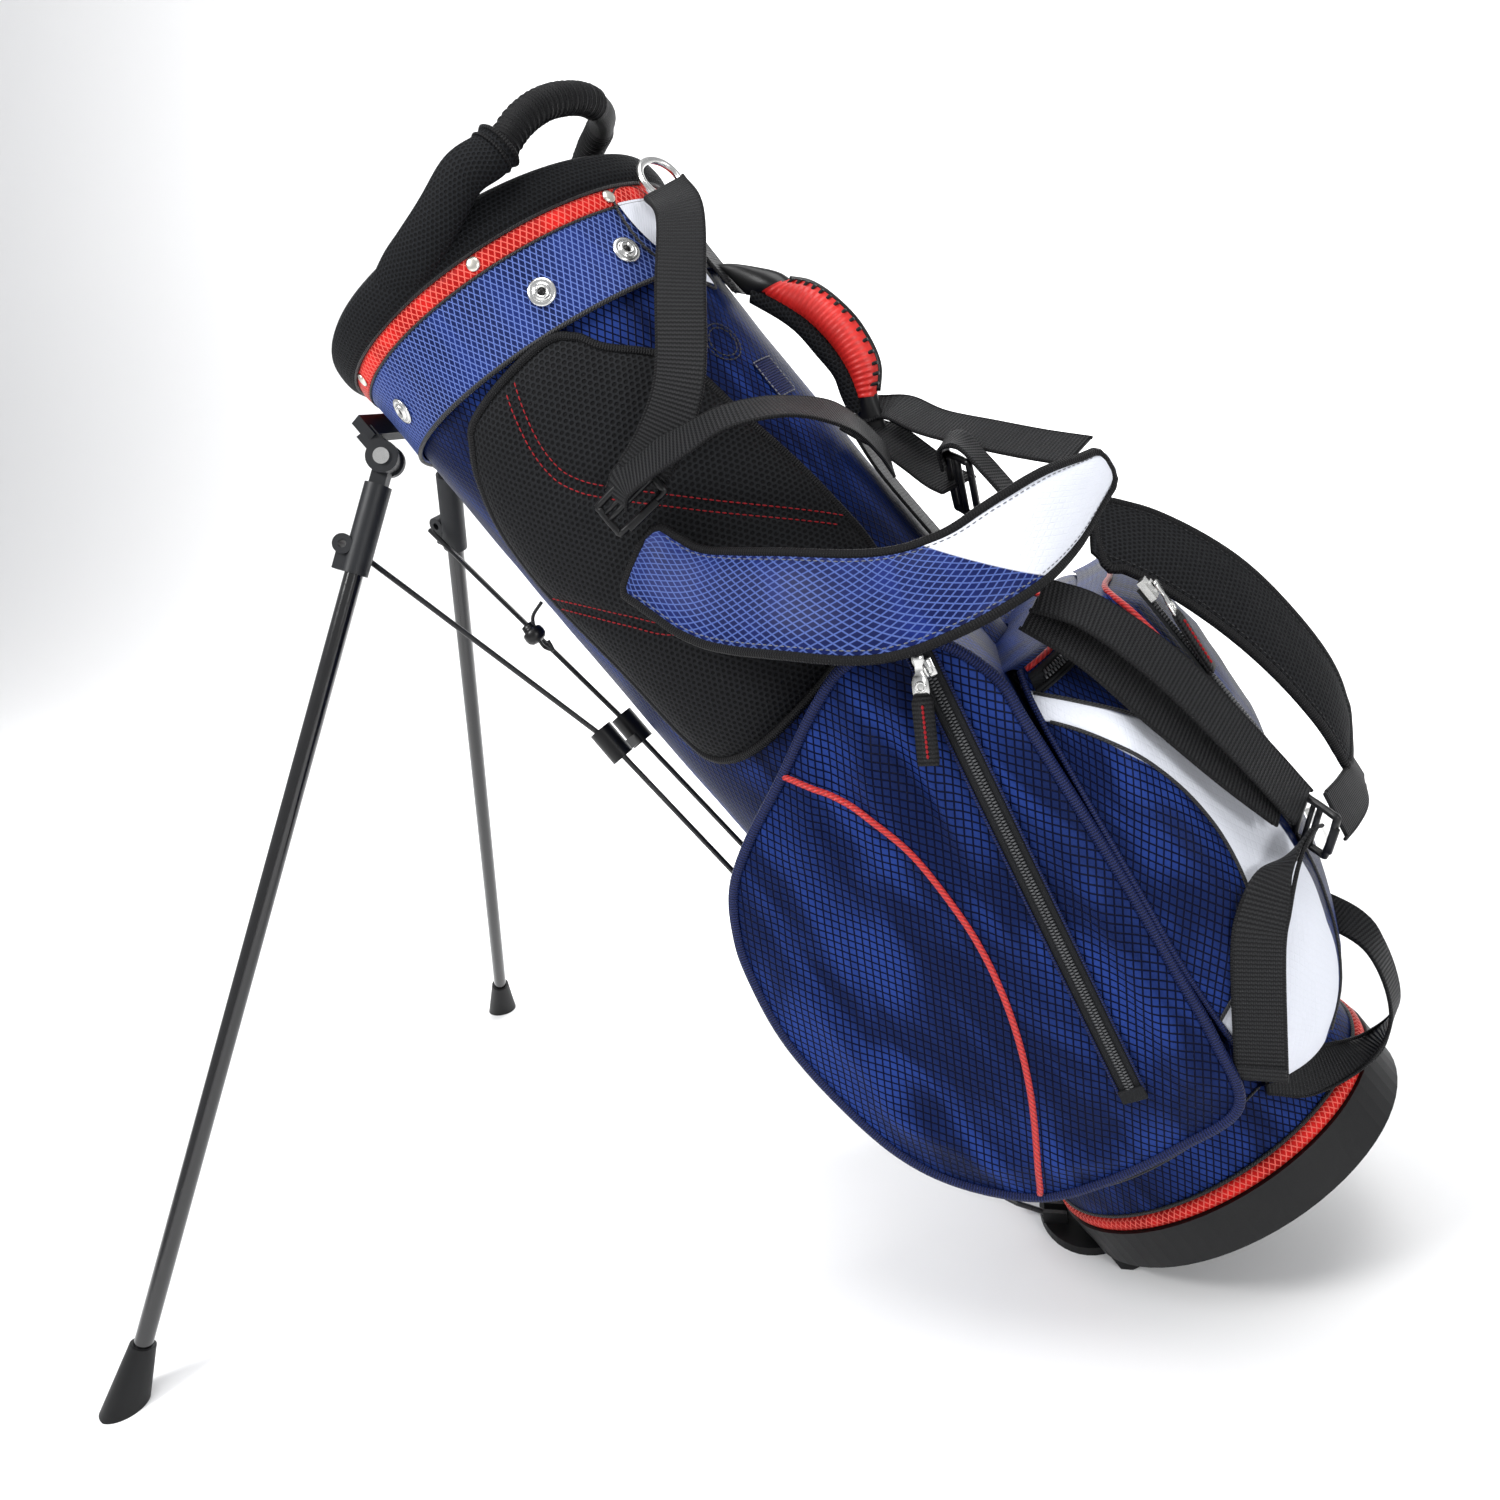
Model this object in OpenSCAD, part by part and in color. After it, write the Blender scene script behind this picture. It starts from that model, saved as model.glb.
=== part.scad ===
// Golf stand bag standing on its deployed legs.
// Soft parts are plain closed solids; hard parts and everything that moves are exact.
// Most modules draw in the bag's own frame: X points to the strap side (the back),
// Y points across the bag with the near side at -Y, and Z runs up the bag's axis.
// bag() leans that frame. The ground is Z = 0 outside it.

/* [Stance] */
// Lean of the bag's axis above the ground, in degrees
lean = 56.33; // [56.33:0.01:56.33]
// Height of the bag axis origin above the ground
axis_height = 71; // [70.5:0.5:71]
// Distance of the bag axis origin behind the middle of the footprint
axis_back = 346.5; // [300:1:380]

/* [Bag shell] */
// Height of the middle of the mouth along the bag's axis
mouth_height = 813; // [811:1:815]
// Tilt of the bag's mouth towards the back, in degrees
mouth_tilt = 10.5; // [9:0.5:11]
// Thickness of the padded shell wall
shell_wall = 3; // [2:0.5:3]
// Height of the padded collar above the red trim at the front
collar_rise = 26; // [24:1:30]

/* [Stand] */
// Angle between a folded and a deployed leg, in degrees
leg_open = 55.94; // [50:0.01:55.94]
// Height of the leg pivots along the bag
pivot_height = 795.8; // [794:0.1:797]
// Distance of the leg pivots in front of the bag axis
pivot_front = 149.8; // [149:0.1:152]
// Half the distance between the two leg pivots
pivot_half = 42.65; // [42:0.05:43]
// Length of a leg from its pivot to the ground
leg_length = 735.6; // [730:0.1:740]
// Radius of a leg tube
leg_r = 7; // [6:0.5:7]
// Radius of a stand wire
wire_r = 2.2; // [2:0.1:2.2]

/* [Pockets] */
// Distance of a side pocket's outer face from the bag's middle
side_face = 172; // [168:1:174]
// Depth of the ball pocket behind the bag's axis
ball_depth = 198; // [190:1:200]

/* [Webbing] */
// Width of the strap webbing
webbing_w = 30; // [25:1:32]
// Thickness of the strap webbing
webbing_t = 2; // [1.5:0.5:2.5]

/* [Hidden] */

$fn = 48;
gap = 0.5;
ring_n = 40;
navy = "#1f2f6b";
black = "#17181a";
red = "#d8252c";
mesh_black = "#232427";
silver = "#c9cbc8";

// The bag's cross-section: an oval whose middle and half-axes change with the height
function bag_x(z) = lookup(z, [[-20, 0], [60, 0], [220, -8], [640, -12], [800, -8], [900, -8]]);
function bag_a(z) = lookup(z, [[-20, 126], [60, 126], [220, 124], [640, 124], [800, 124], [900, 124]]);
function bag_b(z) = lookup(z, [[-20, 109], [60, 109], [220, 108], [640, 109], [800, 114], [900, 114]]);
// A point of the shell's outer surface, pushed out by off; t = 0 is the back, t = -90 the near side
function skin(t, z, off) = [
    bag_x(z) + (bag_a(z) + off) * cos(t),
    (bag_b(z) + off) * sin(t),
    z];
function oval(a, b, n = ring_n) = [for (i = [0:n - 1]) [a * cos(360 * i / n), b * sin(360 * i / n)]];
// Unit vector and cross-section helpers for the swept parts
function unit(v) = v / norm(v);
function strip_section(p, half, thick, along) =
    let (n = unit(cross(along, half)) * thick / 2)
    [p + half + n, p - half + n, p - half - n, p + half - n];

module bag() {
    translate([axis_back, 0, axis_height])
        rotate([0, lean - 90, 0])
            children();
}

// The frame of the tilted mouth: its XY plane runs through the middle of the red trim
module mouth() {
    bag()
        translate([bag_x(mouth_height), 0, mouth_height])
            rotate([0, mouth_tilt, 0])
                children();
}

// A capped solid through a list of rings that all have the same number of points
module loft(rings) {
    n = len(rings[0]);
    m = len(rings);
    lower = [for (i = [0:m - 2]) for (j = [0:n - 1])
        [i * n + j, i * n + (j + 1) % n, (i + 1) * n + (j + 1) % n]];
    upper = [for (i = [0:m - 2]) for (j = [0:n - 1])
        [i * n + j, (i + 1) * n + (j + 1) % n, (i + 1) * n + j]];
    ends = [[for (j = [n - 1:-1:0]) j], [for (j = [0:n - 1]) (m - 1) * n + j]];
    polyhedron([for (r = rings) for (p = r) p], concat(lower, upper, ends), convexity = 6);
}

// A closed hoop: a list of sections that all have the same number of points
module hoop(sections) {
    n = len(sections[0]);
    m = len(sections);
    lower = [for (i = [0:m - 1]) for (j = [0:n - 1])
        [i * n + j, i * n + (j + 1) % n, ((i + 1) % m) * n + (j + 1) % n]];
    upper = [for (i = [0:m - 1]) for (j = [0:n - 1])
        [i * n + j, ((i + 1) % m) * n + (j + 1) % n, ((i + 1) % m) * n + j]];
    polyhedron([for (r = sections) for (p = r) p], concat(lower, upper), convexity = 6);
}

// A flat strap through points, with a half-width vector at each one
module strap(points, halves, thick) {
    last = len(points) - 1;
    loft([for (i = [0:last])
        strip_section(points[i], halves[i], thick,
            points[min(i + 1, last)] - points[max(i - 1, 0)])]);
}

// A straight round bar between two points
module bar(p, q, r) {
    d = q - p;
    translate(p)
        rotate([0, acos(d[2] / norm(d)), atan2(d[1], d[0])])
            cylinder(r = r, h = norm(d));
}

// A bent round bar through points; up is any direction that the path never runs along
module wire(points, r, up, n = 12) {
    last = len(points) - 1;
    loft([for (i = [0:last])
        let (u = unit(cross(points[min(i + 1, last)] - points[max(i - 1, 0)], up)),
            v = unit(cross(points[min(i + 1, last)] - points[max(i - 1, 0)], u)))
        [for (k = [0:n - 1]) points[i] + r * (u * cos(360 * k / n) + v * sin(360 * k / n))]]);
}

module near_and_far() {
    children();
    mirror([0, 1, 0]) children();
}

/* ---- Base ---- */

boot_a = 131;
boot_b = 115;
boot_top = 30;
boot_bottom = -2;
lug_bottom = -18;
boot_floor = 6;
notch_half = 57.5;
hinge_back = -78.7;
hinge_z = -8.8;
pin_r = 3;

module boot() {
    color(black) difference() {
        bag() difference() {
            union() {
                difference() {
                    translate([0, 0, boot_bottom])
                        linear_extrude(boot_top - boot_bottom) polygon(oval(boot_a, boot_b, 72));
                    translate([0, 0, boot_bottom + boot_floor])
                        linear_extrude(boot_top - boot_bottom)
                            polygon(oval(boot_a - 4.5, boot_b - 5.5, 72));
                }
                near_and_far()
                    translate([-108, notch_half, lug_bottom])
                        cube([43.3, 8, 24]);
            }
            translate([-boot_a - 5, -notch_half, lug_bottom - 1])
                cube([boot_a + 5 - 60, 2 * notch_half, 33]);
            translate([hinge_back, notch_half + 9, hinge_z])
                rotate([90, 0, 0]) cylinder(r = pin_r, h = 2 * notch_half + 18);
        }
        translate([-500, -300, -300]) cube([1200, 600, 300]);
    }
}

module base_pan() {
    color(black) bag() translate([0, 0, 21])
        linear_extrude(4) polygon(oval(126 - shell_wall - gap, 109 - shell_wall - gap));
}

module foot_pin() {
    color(silver) bag()
        translate([hinge_back, notch_half + 8, hinge_z])
            rotate([90, 0, 0]) cylinder(r = pin_r, h = 2 * notch_half + 16);
}

module base_trim() {
    color(red) bag() translate([0, 0, boot_top + 0.2])
        linear_extrude(10) difference() {
            polygon(oval(129, 112, 72));
            polygon(oval(126 + gap, 109 + gap, 72));
        }
}

/* ---- Shell and mouth ---- */

// Height of the mouth plane at a place in front of or behind the axis
function mouth_z(x, above = 0) =
    mouth_height + above - (x - bag_x(mouth_height)) * tan(mouth_tilt);
shell_bottom = 20;

module body_shell() {
    levels = [shell_bottom, 60, 220, 430, 640, 790];
    color(navy) bag() hoop([for (i = [0:ring_n - 1]) let (t = -360 * i / ring_n, top = mouth_z(124 * cos(t), 20))
        concat(
            [for (z = levels) skin(t, z, 0)],
            [skin(t, top, 0), skin(t, top, -shell_wall)],
            [for (k = [len(levels) - 1:-1:0]) skin(t, levels[k], -shell_wall)])]);
}

module body_stays() {
    color(silver) bag() near_and_far()
        bar([0, -100, 25.5], [-8, -102.5, 780], 3);
}

cuff_out = 3;
module cuff_band() {
    color(navy) bag() hoop([for (i = [0:ring_n - 1]) let (t = -360 * i / ring_n, z = mouth_z(124 * cos(t)))
        [skin(t, z - 60, gap), skin(t, z - 60, cuff_out), skin(t, z - 6, cuff_out), skin(t, z - 6, gap)]]);
}

module cuff_trim() {
    color(red) bag() hoop([for (i = [0:ring_n - 1]) let (t = -360 * i / ring_n, z = mouth_z(124 * cos(t)))
        [skin(t, z - 5.5, gap), skin(t, z - 5.5, cuff_out + 1.5),
         skin(t, z + 5.5, cuff_out + 1.5), skin(t, z + 5.5, gap)]]);
}

// The collar rolls over the rim and stands a little higher at the sides
function collar_h(t) = collar_rise + 4 * pow(sin(t), 2);
module collar_pad() {
    color(mesh_black) bag() hoop([for (i = [0:ring_n - 1])
        let (t = -360 * i / ring_n, z = mouth_z(124 * cos(t), 6), h = collar_h(t))
        [skin(t, z, gap), skin(t, z, 6), skin(t, z + 0.45 * h, 9), skin(t, z + 0.85 * h, 6),
         skin(t, z + h, -2), skin(t, z + 0.85 * h, -8), skin(t, z + 16, -8), skin(t, z + 16, gap)]]);
}

divider_a = 118;
divider_b = 108;
bar_w = 9;
module divider_rim() {
    color(black) mouth() translate([0, 0, -10])
        linear_extrude(28) difference() {
            polygon(oval(divider_a, divider_b));
            polygon(oval(divider_a - 6, divider_b - 6));
        }
}

// Six club compartments: one bar front to back and two across
cross_x = [-42, 38];
module divider_cross(z, h, w, a, b) {
    translate([0, 0, z]) linear_extrude(h) intersection() {
        union() {
            square([2 * a, w], center = true);
            for (x = cross_x) translate([x, 0]) square([w, 2 * b], center = true);
        }
        polygon(oval(a, b));
    }
}

module divider_bars() {
    color(mesh_black) mouth() divider_cross(-10, 26, bar_w, divider_a - 6.3, divider_b - 6.3);
}

module divider_panels() {
    color(black) difference() {
        bag() translate([bag_x(mouth_height), 0, 660])
            divider_cross(0, 200, 1.6, divider_a - 8, divider_b - 4);
        mouth() translate([-200, -200, -10.3]) cube([400, 400, 200]);
    }
}

/* ---- Hip pads ---- */

hip_t = 12;
// Height, back edge angle and front edge angle of the pad's outline
hip_rows = [[462, 90, 110], [474, 62, 122], [500, 38, 126], [560, 36, 128], [630, 41, 132],
    [680, 46, 130], [715, 61, 121], [732, 66, 113], [742, 75, 104]];
hip_n = 14;
function hip_ring(row) = concat(
    [for (k = [0:hip_n]) skin(-row[1] + (row[1] - row[2]) * k / hip_n, row[0], 2.5)],
    [for (k = [hip_n:-1:0]) skin(-row[1] + (row[1] - row[2]) * k / hip_n, row[0], hip_t)]);
module near_hip_pad() {
    color(mesh_black) bag() loft([for (r = hip_rows) hip_ring(r)]);
}
module far_hip_pad() {
    color(mesh_black) mirror([0, 1, 0]) bag() loft([for (r = hip_rows) hip_ring(r)]);
}

/* ---- Pockets ---- */

// Height, front edge and back edge of the side pocket's flat face
side_rows = [[114, -28, 60], [125, -66, 74], [158, -104, 81], [205, -126, 92], [270, -137, 102],
    [330, -132, 112], [382, -108, 120], [423, -62, 126], [450, -8, 122], [468, 34, 100]];
// The pocket's inner wall follows the shell between two angles from the back
side_n = 12;
function shell_angle(x, z) = acos(max(-1, min(1, (x - bag_x(z)) / bag_a(z))));
function side_ring(r) = let (z = r[0], x0 = r[1], x1 = r[2],
    t0 = min(146, shell_angle(x0 + 6, z)), t1 = max(20, shell_angle(x1 - 6, z))) concat(
    [[x1, -side_face + 8, z], [x1 - 10, -side_face, z], [x0 + 12, -side_face, z],
     [x0, -side_face + 10, z], [x0 + 4, -128, z]],
    [for (k = [0:side_n]) skin(-t0 + (t0 - t1) * k / side_n, z, 5)]);
module side_pocket() {
    bag() loft([for (r = side_rows) side_ring(r)]);
}
module near_side_pocket() {
    color(navy) side_pocket();
}
module far_side_pocket() {
    color(navy) mirror([0, 1, 0]) side_pocket();
}

// Height, near seam's distance behind the axis, half width and depth of the ball pocket
ball_rows = [[88, 90, 108, 142], [130, 90, 150, 170], [200, 98, 163, 192], [260, 108, 164, ball_depth],
    [330, 119, 160, 194], [380, 126, 150, 182], [402, 130, 132, 168]];
function ball_ring(r) = let (z = r[0], back_x = r[1], half = r[2], deep = r[3]) concat(
    [for (k = [-7:7]) let (f = k * 90 / 7)
        [back_x + (deep - back_x) * pow(cos(f), 0.7), half * sin(f), z]],
    [for (k = [0:12]) let (y = (half - 6) * (1 - k / 6), u = min(1, abs(y / (bag_b(z) + 3.5))))
        [max(back_x - 2 - 3 * pow(y / half, 2), bag_x(z) + (bag_a(z) + 3.5) * sqrt(1 - u * u)), y, z]]);
module ball_pocket() {
    color(navy) bag() loft([for (r = ball_rows) ball_ring(r)]);
}

// Distance of the ball pocket's outer face behind the axis, at a height and a side distance
function ball_face(y, z) = let (
    back_x = lookup(z, [for (r = ball_rows) [r[0], r[1]]]),
    half = lookup(z, [for (r = ball_rows) [r[0], r[2]]]),
    deep = lookup(z, [for (r = ball_rows) [r[0], r[3]]]))
    back_x + (deep - back_x) * pow(cos(asin(min(1, abs(y) / half))), 0.7);
// Height, half width, and the outer face's distance at its edges and its middle
accessory_rows = [[226, 76, 191, 197], [262, 92, 198, 206], [330, 100, 200, 212],
    [380, 98, 197, 206], [404, 88, 186, 192]];
function accessory_ring(r) = let (z = r[0], half = r[1], edge = r[2], mid = r[3]) concat(
    [for (k = [-8:8]) [ball_face(half * k / 8, z) + 2, half * k / 8, z]],
    [[edge - 4, half, z]],
    [for (k = [4:-1:-4]) [mid - (mid - edge) * pow(k / 4, 2), (half - 5) * k / 4, z]],
    [[edge - 4, -half, z]]);
module accessory_pocket() {
    color(navy) bag() loft([for (r = accessory_rows) accessory_ring(r)]);
}

/* ---- Zips ---- */

zip_w = 18;
side_zip_top = [101, 448];
side_zip_run = 296;
side_zip_angle = atan2(72, 287);
// Frame of the near side zip: Z along the zip from its bottom end, -Y out of the pocket
module side_zip_frame() {
    bag() translate([side_zip_top[0], -side_face - gap, side_zip_top[1]])
        rotate([0, side_zip_angle, 0]) children();
}
module side_zip_tape() {
    side_zip_frame() translate([-zip_w / 2, -1.5, -side_zip_run - 6])
        cube([zip_w, 1.5, side_zip_run + 16]);
}
module slider_body() {
    translate([-5, -6, -7]) cube([10, 4, 14]);
    translate([-2.5, -8.5, -4]) cube([5, 2.5, 2]);
    translate([-2.5, -8.5, 2]) cube([5, 2.5, 2]);
}
module side_zip_slider() {
    side_zip_frame() slider_body();
}
// A die-cut pull with a webbing tab under it, hanging straight down from a point
module hanging_pull(at) {
    translate(at) {
        difference() {
            translate([-4, -1, -24]) cube([8, 1.6, 26]);
            translate([0, 2, -19]) rotate([90, 0, 0]) cylinder(r = 2.2, h = 6);
        }
        translate([-7, -1.6, -64]) cube([14, 2.6, 39.7]);
    }
}
side_pull_at = [axis_back + side_zip_top[0] * sin(lean) - side_zip_top[1] * cos(lean),
    -side_face - 10.8,
    axis_height + side_zip_top[0] * cos(lean) + side_zip_top[1] * sin(lean)];

module near_zip_tape() {
    color(black) side_zip_tape();
}
module far_zip_tape() {
    color(black) mirror([0, 1, 0]) side_zip_tape();
}
module near_zip_slider() {
    color(silver) side_zip_slider();
}
module far_zip_slider() {
    color(silver) mirror([0, 1, 0]) side_zip_slider();
}
module near_zip_pull() {
    color(silver) hanging_pull(side_pull_at);
}
module far_zip_pull() {
    color(silver) mirror([0, 1, 0]) hanging_pull(side_pull_at);
}

// The accessory pocket's zip runs down its near edge, on the back
accessory_zip_top = [205.5, -82, 386];
accessory_zip_run = 132;
module accessory_zip_frame() {
    bag() translate(accessory_zip_top) rotate([0, 0, 77]) children();
}
module accessory_zip_tape() {
    color(black) accessory_zip_frame()
        translate([-7, -1.5, -accessory_zip_run - 12]) cube([14, 1.5, accessory_zip_run + 18]);
}
module accessory_zip_slider() {
    color(silver) accessory_zip_frame() slider_body();
}
module accessory_zip_pull() {
    color(silver) accessory_zip_frame() translate([0, -9, 0]) rotate([6, 0, 0]) {
        translate([-4, -1.6, -24]) cube([8, 1.6, 23]);
        translate([-7, -2.2, -62]) cube([14, 2.6, 37.7]);
    }
}

// The ball pocket's zip follows a wide arc on the near half of the back
ball_zip_r = 301.5;
ball_zip_mid = [-103, 262];
ball_zip_y = -50;
module ball_arc(r, w, t, a0, a1) {
    bag() translate([ball_zip_mid[0], ball_zip_y, ball_zip_mid[1]]) rotate([90, 0, 0])
        rotate([0, 0, a0]) rotate_extrude(angle = a1 - a0) translate([r, -w / 2]) square([t, w]);
}
module ball_zip_tape() {
    color(black) ball_arc(ball_zip_r, 16, 1.5, -33, -8);
}
module ball_zip_slider() {
    color(silver) ball_arc(ball_zip_r + 2, 10, 4, -12, -10);
}
module ball_zip_pull() {
    color(silver) ball_arc(ball_zip_r + 6.4, 8, 1.6, -16, -10.5);
}

/* ---- Handles ---- */

// Arch of the carry handle over the mouth, from the near sleeve to the far sleeve
carry_path = [[78, -106, 840], [98, -88, 851], [114, -62, 857], [125, -26, 858], [123, 10, 858],
    [110, 36, 863], [90, 60, 869], [70, 82, 870], [58, 104, 858]];
carry_r = 10;
module carry_handle() {
    color(mesh_black) bag() wire(carry_path, carry_r, [0, 0, 1], 16);
}
// Mesh sleeves that carry the handle's ends down the collar's sides
module handle_sleeves() {
    color(mesh_black) bag() near_and_far()
        strap([[22, -127, 828], [46, -125, 841], [68, -117, 846]],
            [[-14, 3, 8], [-8, 2, 12], [-3, 2, 13]], 6);
}

// Moulded grip on the spine, with its two tapered ends
grip_path = [[126, 0, 716], [138, 0, 696], [150, 0, 669], [155, 0, 637], [150, 0, 607], [138, 0, 585],
    [127, 0, 567]];
module grip_handle() {
    color(red) bag() wire(grip_path, 9, [0, 1, 0]);
}
module spine_webbing() {
    color(black) bag() {
        strap([[120.5, 0, 768], [119.5, 0, 738]], [[0, 15, 0], [0, 15, 0]], webbing_t);
        strap([[117.5, 0, 545], [118.5, 0, 480], [119, 0, 440]],
            [[0, 15, 0], [0, 15, 0], [0, 15, 0]], webbing_t);
    }
}
module top_ring() {
    color(silver) bag() translate([131, -24, 786]) rotate([90, 25, 60])
        rotate_extrude() translate([15, 0]) circle(r = 2.4);
}

/* ---- Shoulder straps ---- */

front_pad_path = [[-6, -142, 600], [17, -158, 556], [63, -182, 517], [104, -188, 484], [143, -180, 468],
    [176, -162, 462], [206, -134, 460], [238, -96, 460]];
front_pad_half = [[16, 10, 24], [14, 14, 24], [17, 13, 22], [17, 14, 22], [16, 15, 22],
    [15, 12, 25], [16, 9, 22], [6, 5, 8]];
module front_pad() {
    color(navy) bag() strap(front_pad_path, front_pad_half, 7);
}
rear_pad_path = [[204, -56, 434], [224, -42, 399], [240, -28, 350], [247, -16, 300], [247, -6, 250],
    [238, 2, 208]];
rear_pad_half = [[12, 22, 10], [14, 24, 10], [16, 25, 8], [15, 27, 6], [13, 28, 4], [8, 27, 2]];
module rear_pad() {
    color(mesh_black) bag() strap(rear_pad_path, rear_pad_half, 7);
}

half_w = webbing_w / 2;
module ring_webbing() {
    color(black) bag() strap(
        [[134, -50, 772], [136, -76, 745], [113, -107, 704], [84, -130, 662], [54, -140, 642],
         [28, -142, 635]],
        [[-13, -6, 2], [-12, -6, 6], [-10, -5, 10], [-9, -4, 11], [-5, -3, 14], [-2, -1, 15]], webbing_t);
}
module cross_webbing() {
    color(black) bag() strap(
        [[10, -147, 634], [21, -148, 639], [43, -150, 636], [68, -151, 630], [91, -147, 625],
         [111, -137, 615], [125, -119, 603], [136, -92, 585], [136, -62, 567], [132, -36, 549]],
        [[-3, 8, 11], [0, 9, 11], [1, 10, 10], [0, 11, 9], [-1, 11, 8], [-3, 10, 9], [-3, 9, 10],
         [-1, 8, 12], [1, 8, 12], [3, 8, 11]],
        webbing_t);
}
module shoulder_webbing() {
    color(black) bag() {
        strap([[152, 2, 574], [166, -20, 550], [189, -43, 521], [209, -61, 497], [228, -78, 476]],
            [[10, 10, 0], [10, 9, 0], [10, 9, 1], [10, 9, 1], [10, 9, 1]], webbing_t);
        strap([[137, -12, 561], [145, -26, 538], [151, -41, 521]],
            [[10, 9, -1], [10, 9, -2], [10, 9, -3]], webbing_t);
        strap([[160, -50, 522], [167, -55, 533], [178, -65, 527], [182, -80, 505], [184, -90, 484]],
            [[3, 11, 2], [3, 11, 2], [3, 11, 3], [3, 11, 3], [3, 11, 3]], webbing_t);
    }
}
module lower_webbing() {
    color(black) bag() {
        strap([[168, -147, 430], [184, -144, 402], [196, -138, 350], [201, -128, 284], [202, -114, 234]],
            [[8, 11, 2], [8, 11, 2], [9, 11, 1], [9, 11, 1], [9, 11, 1]], webbing_t);
        strap([[158, -150, 426], [170, -147, 388], [178, -141, 334], [186, -132, 282], [193, -120, 242]],
            [[8, 11, 2], [8, 11, 2], [8, 11, 1], [8, 11, 1], [8, 11, 1]], webbing_t);
        strap([[235, -2, 198], [229, -22, 193], [219, -50, 197], [210, -74, 203]],
            [[4, 6, 14], [4, 6, 14], [4, 6, 14], [4, 6, 14]], webbing_t);
    }
}

// Ladder-lock buckles: a frame with a middle bar
module buckle(at, turn) {
    bag() translate(at) rotate(turn) translate([0, 0, -2]) linear_extrude(4) difference() {
        square([24, 40], center = true);
        translate([-5.5, 0]) square([6, 32], center = true);
        translate([5.5, 0]) square([6, 32], center = true);
    }
}
module strap_buckles() {
    color(black) {
        buckle([16, -143, 629], [90, 90, 0]);
        buckle([160, -53, 505], [80, 40, -60]);
        buckle([199, -97, 213], [80, 50, -60]);
    }
}
// The spare end of the rear strap leaves its buckle and hangs down beside the ball pocket;
// these points are outside the bag's frame, because it hangs straight down
tail_path = [[388, -112, 354], [379, -128, 357], [366, -148, 350], [358, -160, 332], [354, -164, 306],
    [354, -164, 226]];
tail_half = [[9, 6, 9], [10, 5, 9], [13, 4, 4], [14, 1, 0], [14, 0, 0], [14, -1, 0]];
module strap_tail() {
    color(black) strap(tail_path, tail_half, webbing_t);
}
module base_loop() {
    color(black) bag() strap(
        [[174, -24, 132], [176, -38, 96], [161, -40, 57], [131, -46, 43], [97, -76, 64], [76, -95, 84]],
        [[5, 11, 6], [6, 12, 3], [4, 13, -3], [3, 13, 2], [6, 6, 12], [4, 3, 8]], webbing_t);
}

/* ---- Studs, rivets and cord lock ---- */

// Angles round the bag at which the mouth's studs sit
stud_angles = [65, 36, 130];
rivet_angles = [75, 29, 137];
module stud_at(t, below, off) {
    z = mouth_z(124 * cos(t)) - below;
    bag() translate(skin(-t, z, off)) rotate([0, 90, -t - 4]) children();
}
module snap_studs() {
    color(silver) near_and_far() for (t = stud_angles) stud_at(t, 36, cuff_out + 0.2) {
        cylinder(r = 9, h = 1.4);
        difference() {
            cylinder(r = 5, h = 3);
            cylinder(r = 2, h = 4);
        }
    }
}
module cap_rivets() {
    color(silver) near_and_far() for (t = rivet_angles) stud_at(t, 0, cuff_out + 1.8)
        cylinder(r = 4.5, h = 1.6);
}
module cord_lock() {
    color(black) bag() {
        translate([-139, -63, 625]) sphere(r = 8);
        bar([-132, -63, 629], [-118, -62, 636], 1.5);
    }
}

/* ---- Stand ---- */

// Angle of each leg's hinge axis about the bag's axis
hinge_turn = 24.62;
eye_down = 69;
eye_out = 11.4;
// Frame of the near leg's hinge: X out of the bag, Y along the hinge axis
module near_hinge() {
    bag() translate([-pivot_front, -pivot_half, pivot_height])
        rotate([0, 0, 180 + hinge_turn]) children();
}
// The near leg's own frame: Z down the tube is negative, X away from the bag when folded
module near_leg_frame() {
    near_hinge() rotate([0, -leg_open, 0]) children();
}
module hinge_hole(r, l) {
    rotate([90, 0, 0]) cylinder(r = r, h = l, center = true);
}

module bracket_cheeks() {
    near_hinge() difference() {
        union() {
            for (y = [-1, 1]) translate([0, y * 8.5, 0]) {
                rotate([90, 0, 0]) cylinder(r = 12, h = 5, center = true);
                translate([-9, -2.5, -4]) cube([14, 5, 26]);
            }
            translate([-9, -11, 13]) cube([14, 22, 9]);
        }
        hinge_hole(pin_r, 40);
    }
}
module stand_bracket() {
    color(black) {
        near_and_far() bracket_cheeks();
        bag() translate([-147, -52, pivot_height + 14]) cube([9, 104, 18]);
    }
}
module pivot_rivets() {
    color(silver) near_and_far() near_hinge() {
        rotate([90, 0, 0]) cylinder(r = pin_r, h = 22, center = true);
        translate([0, 11, 0]) rotate([-90, 0, 0]) cylinder(r = 6, h = 1.5);
        translate([0, -11, 0]) rotate([90, 0, 0]) cylinder(r = 6, h = 1.5);
    }
}

module leg_sleeve() {
    near_leg_frame() difference() {
        union() {
            rotate([90, 0, 0]) cylinder(r = 10, h = 11, center = true);
            translate([-6, -5.5, -26]) cube([12, 11, 20]);
            translate([0, 0, -88]) cylinder(r = 10, h = 68);
            translate([eye_out, 0, -eye_down]) rotate([90, 0, 0]) cylinder(r = 7.5, h = 18, center = true);
            translate([0, -6, -88]) cube([eye_out + 4, 12, 24]);
        }
        hinge_hole(pin_r + 0.05, 40);
        translate([0, 0, -90]) cylinder(r = leg_r, h = 60);
        translate([eye_out, 0, -eye_down]) hinge_hole(3, 40);
    }
}
module leg_tube() {
    near_leg_frame() translate([0, 0, -leg_length + 28]) difference() {
        cylinder(r = leg_r, h = leg_length - 62);
        translate([0, 0, 1]) cylinder(r = leg_r - 1.2, h = leg_length);
    }
}
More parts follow.
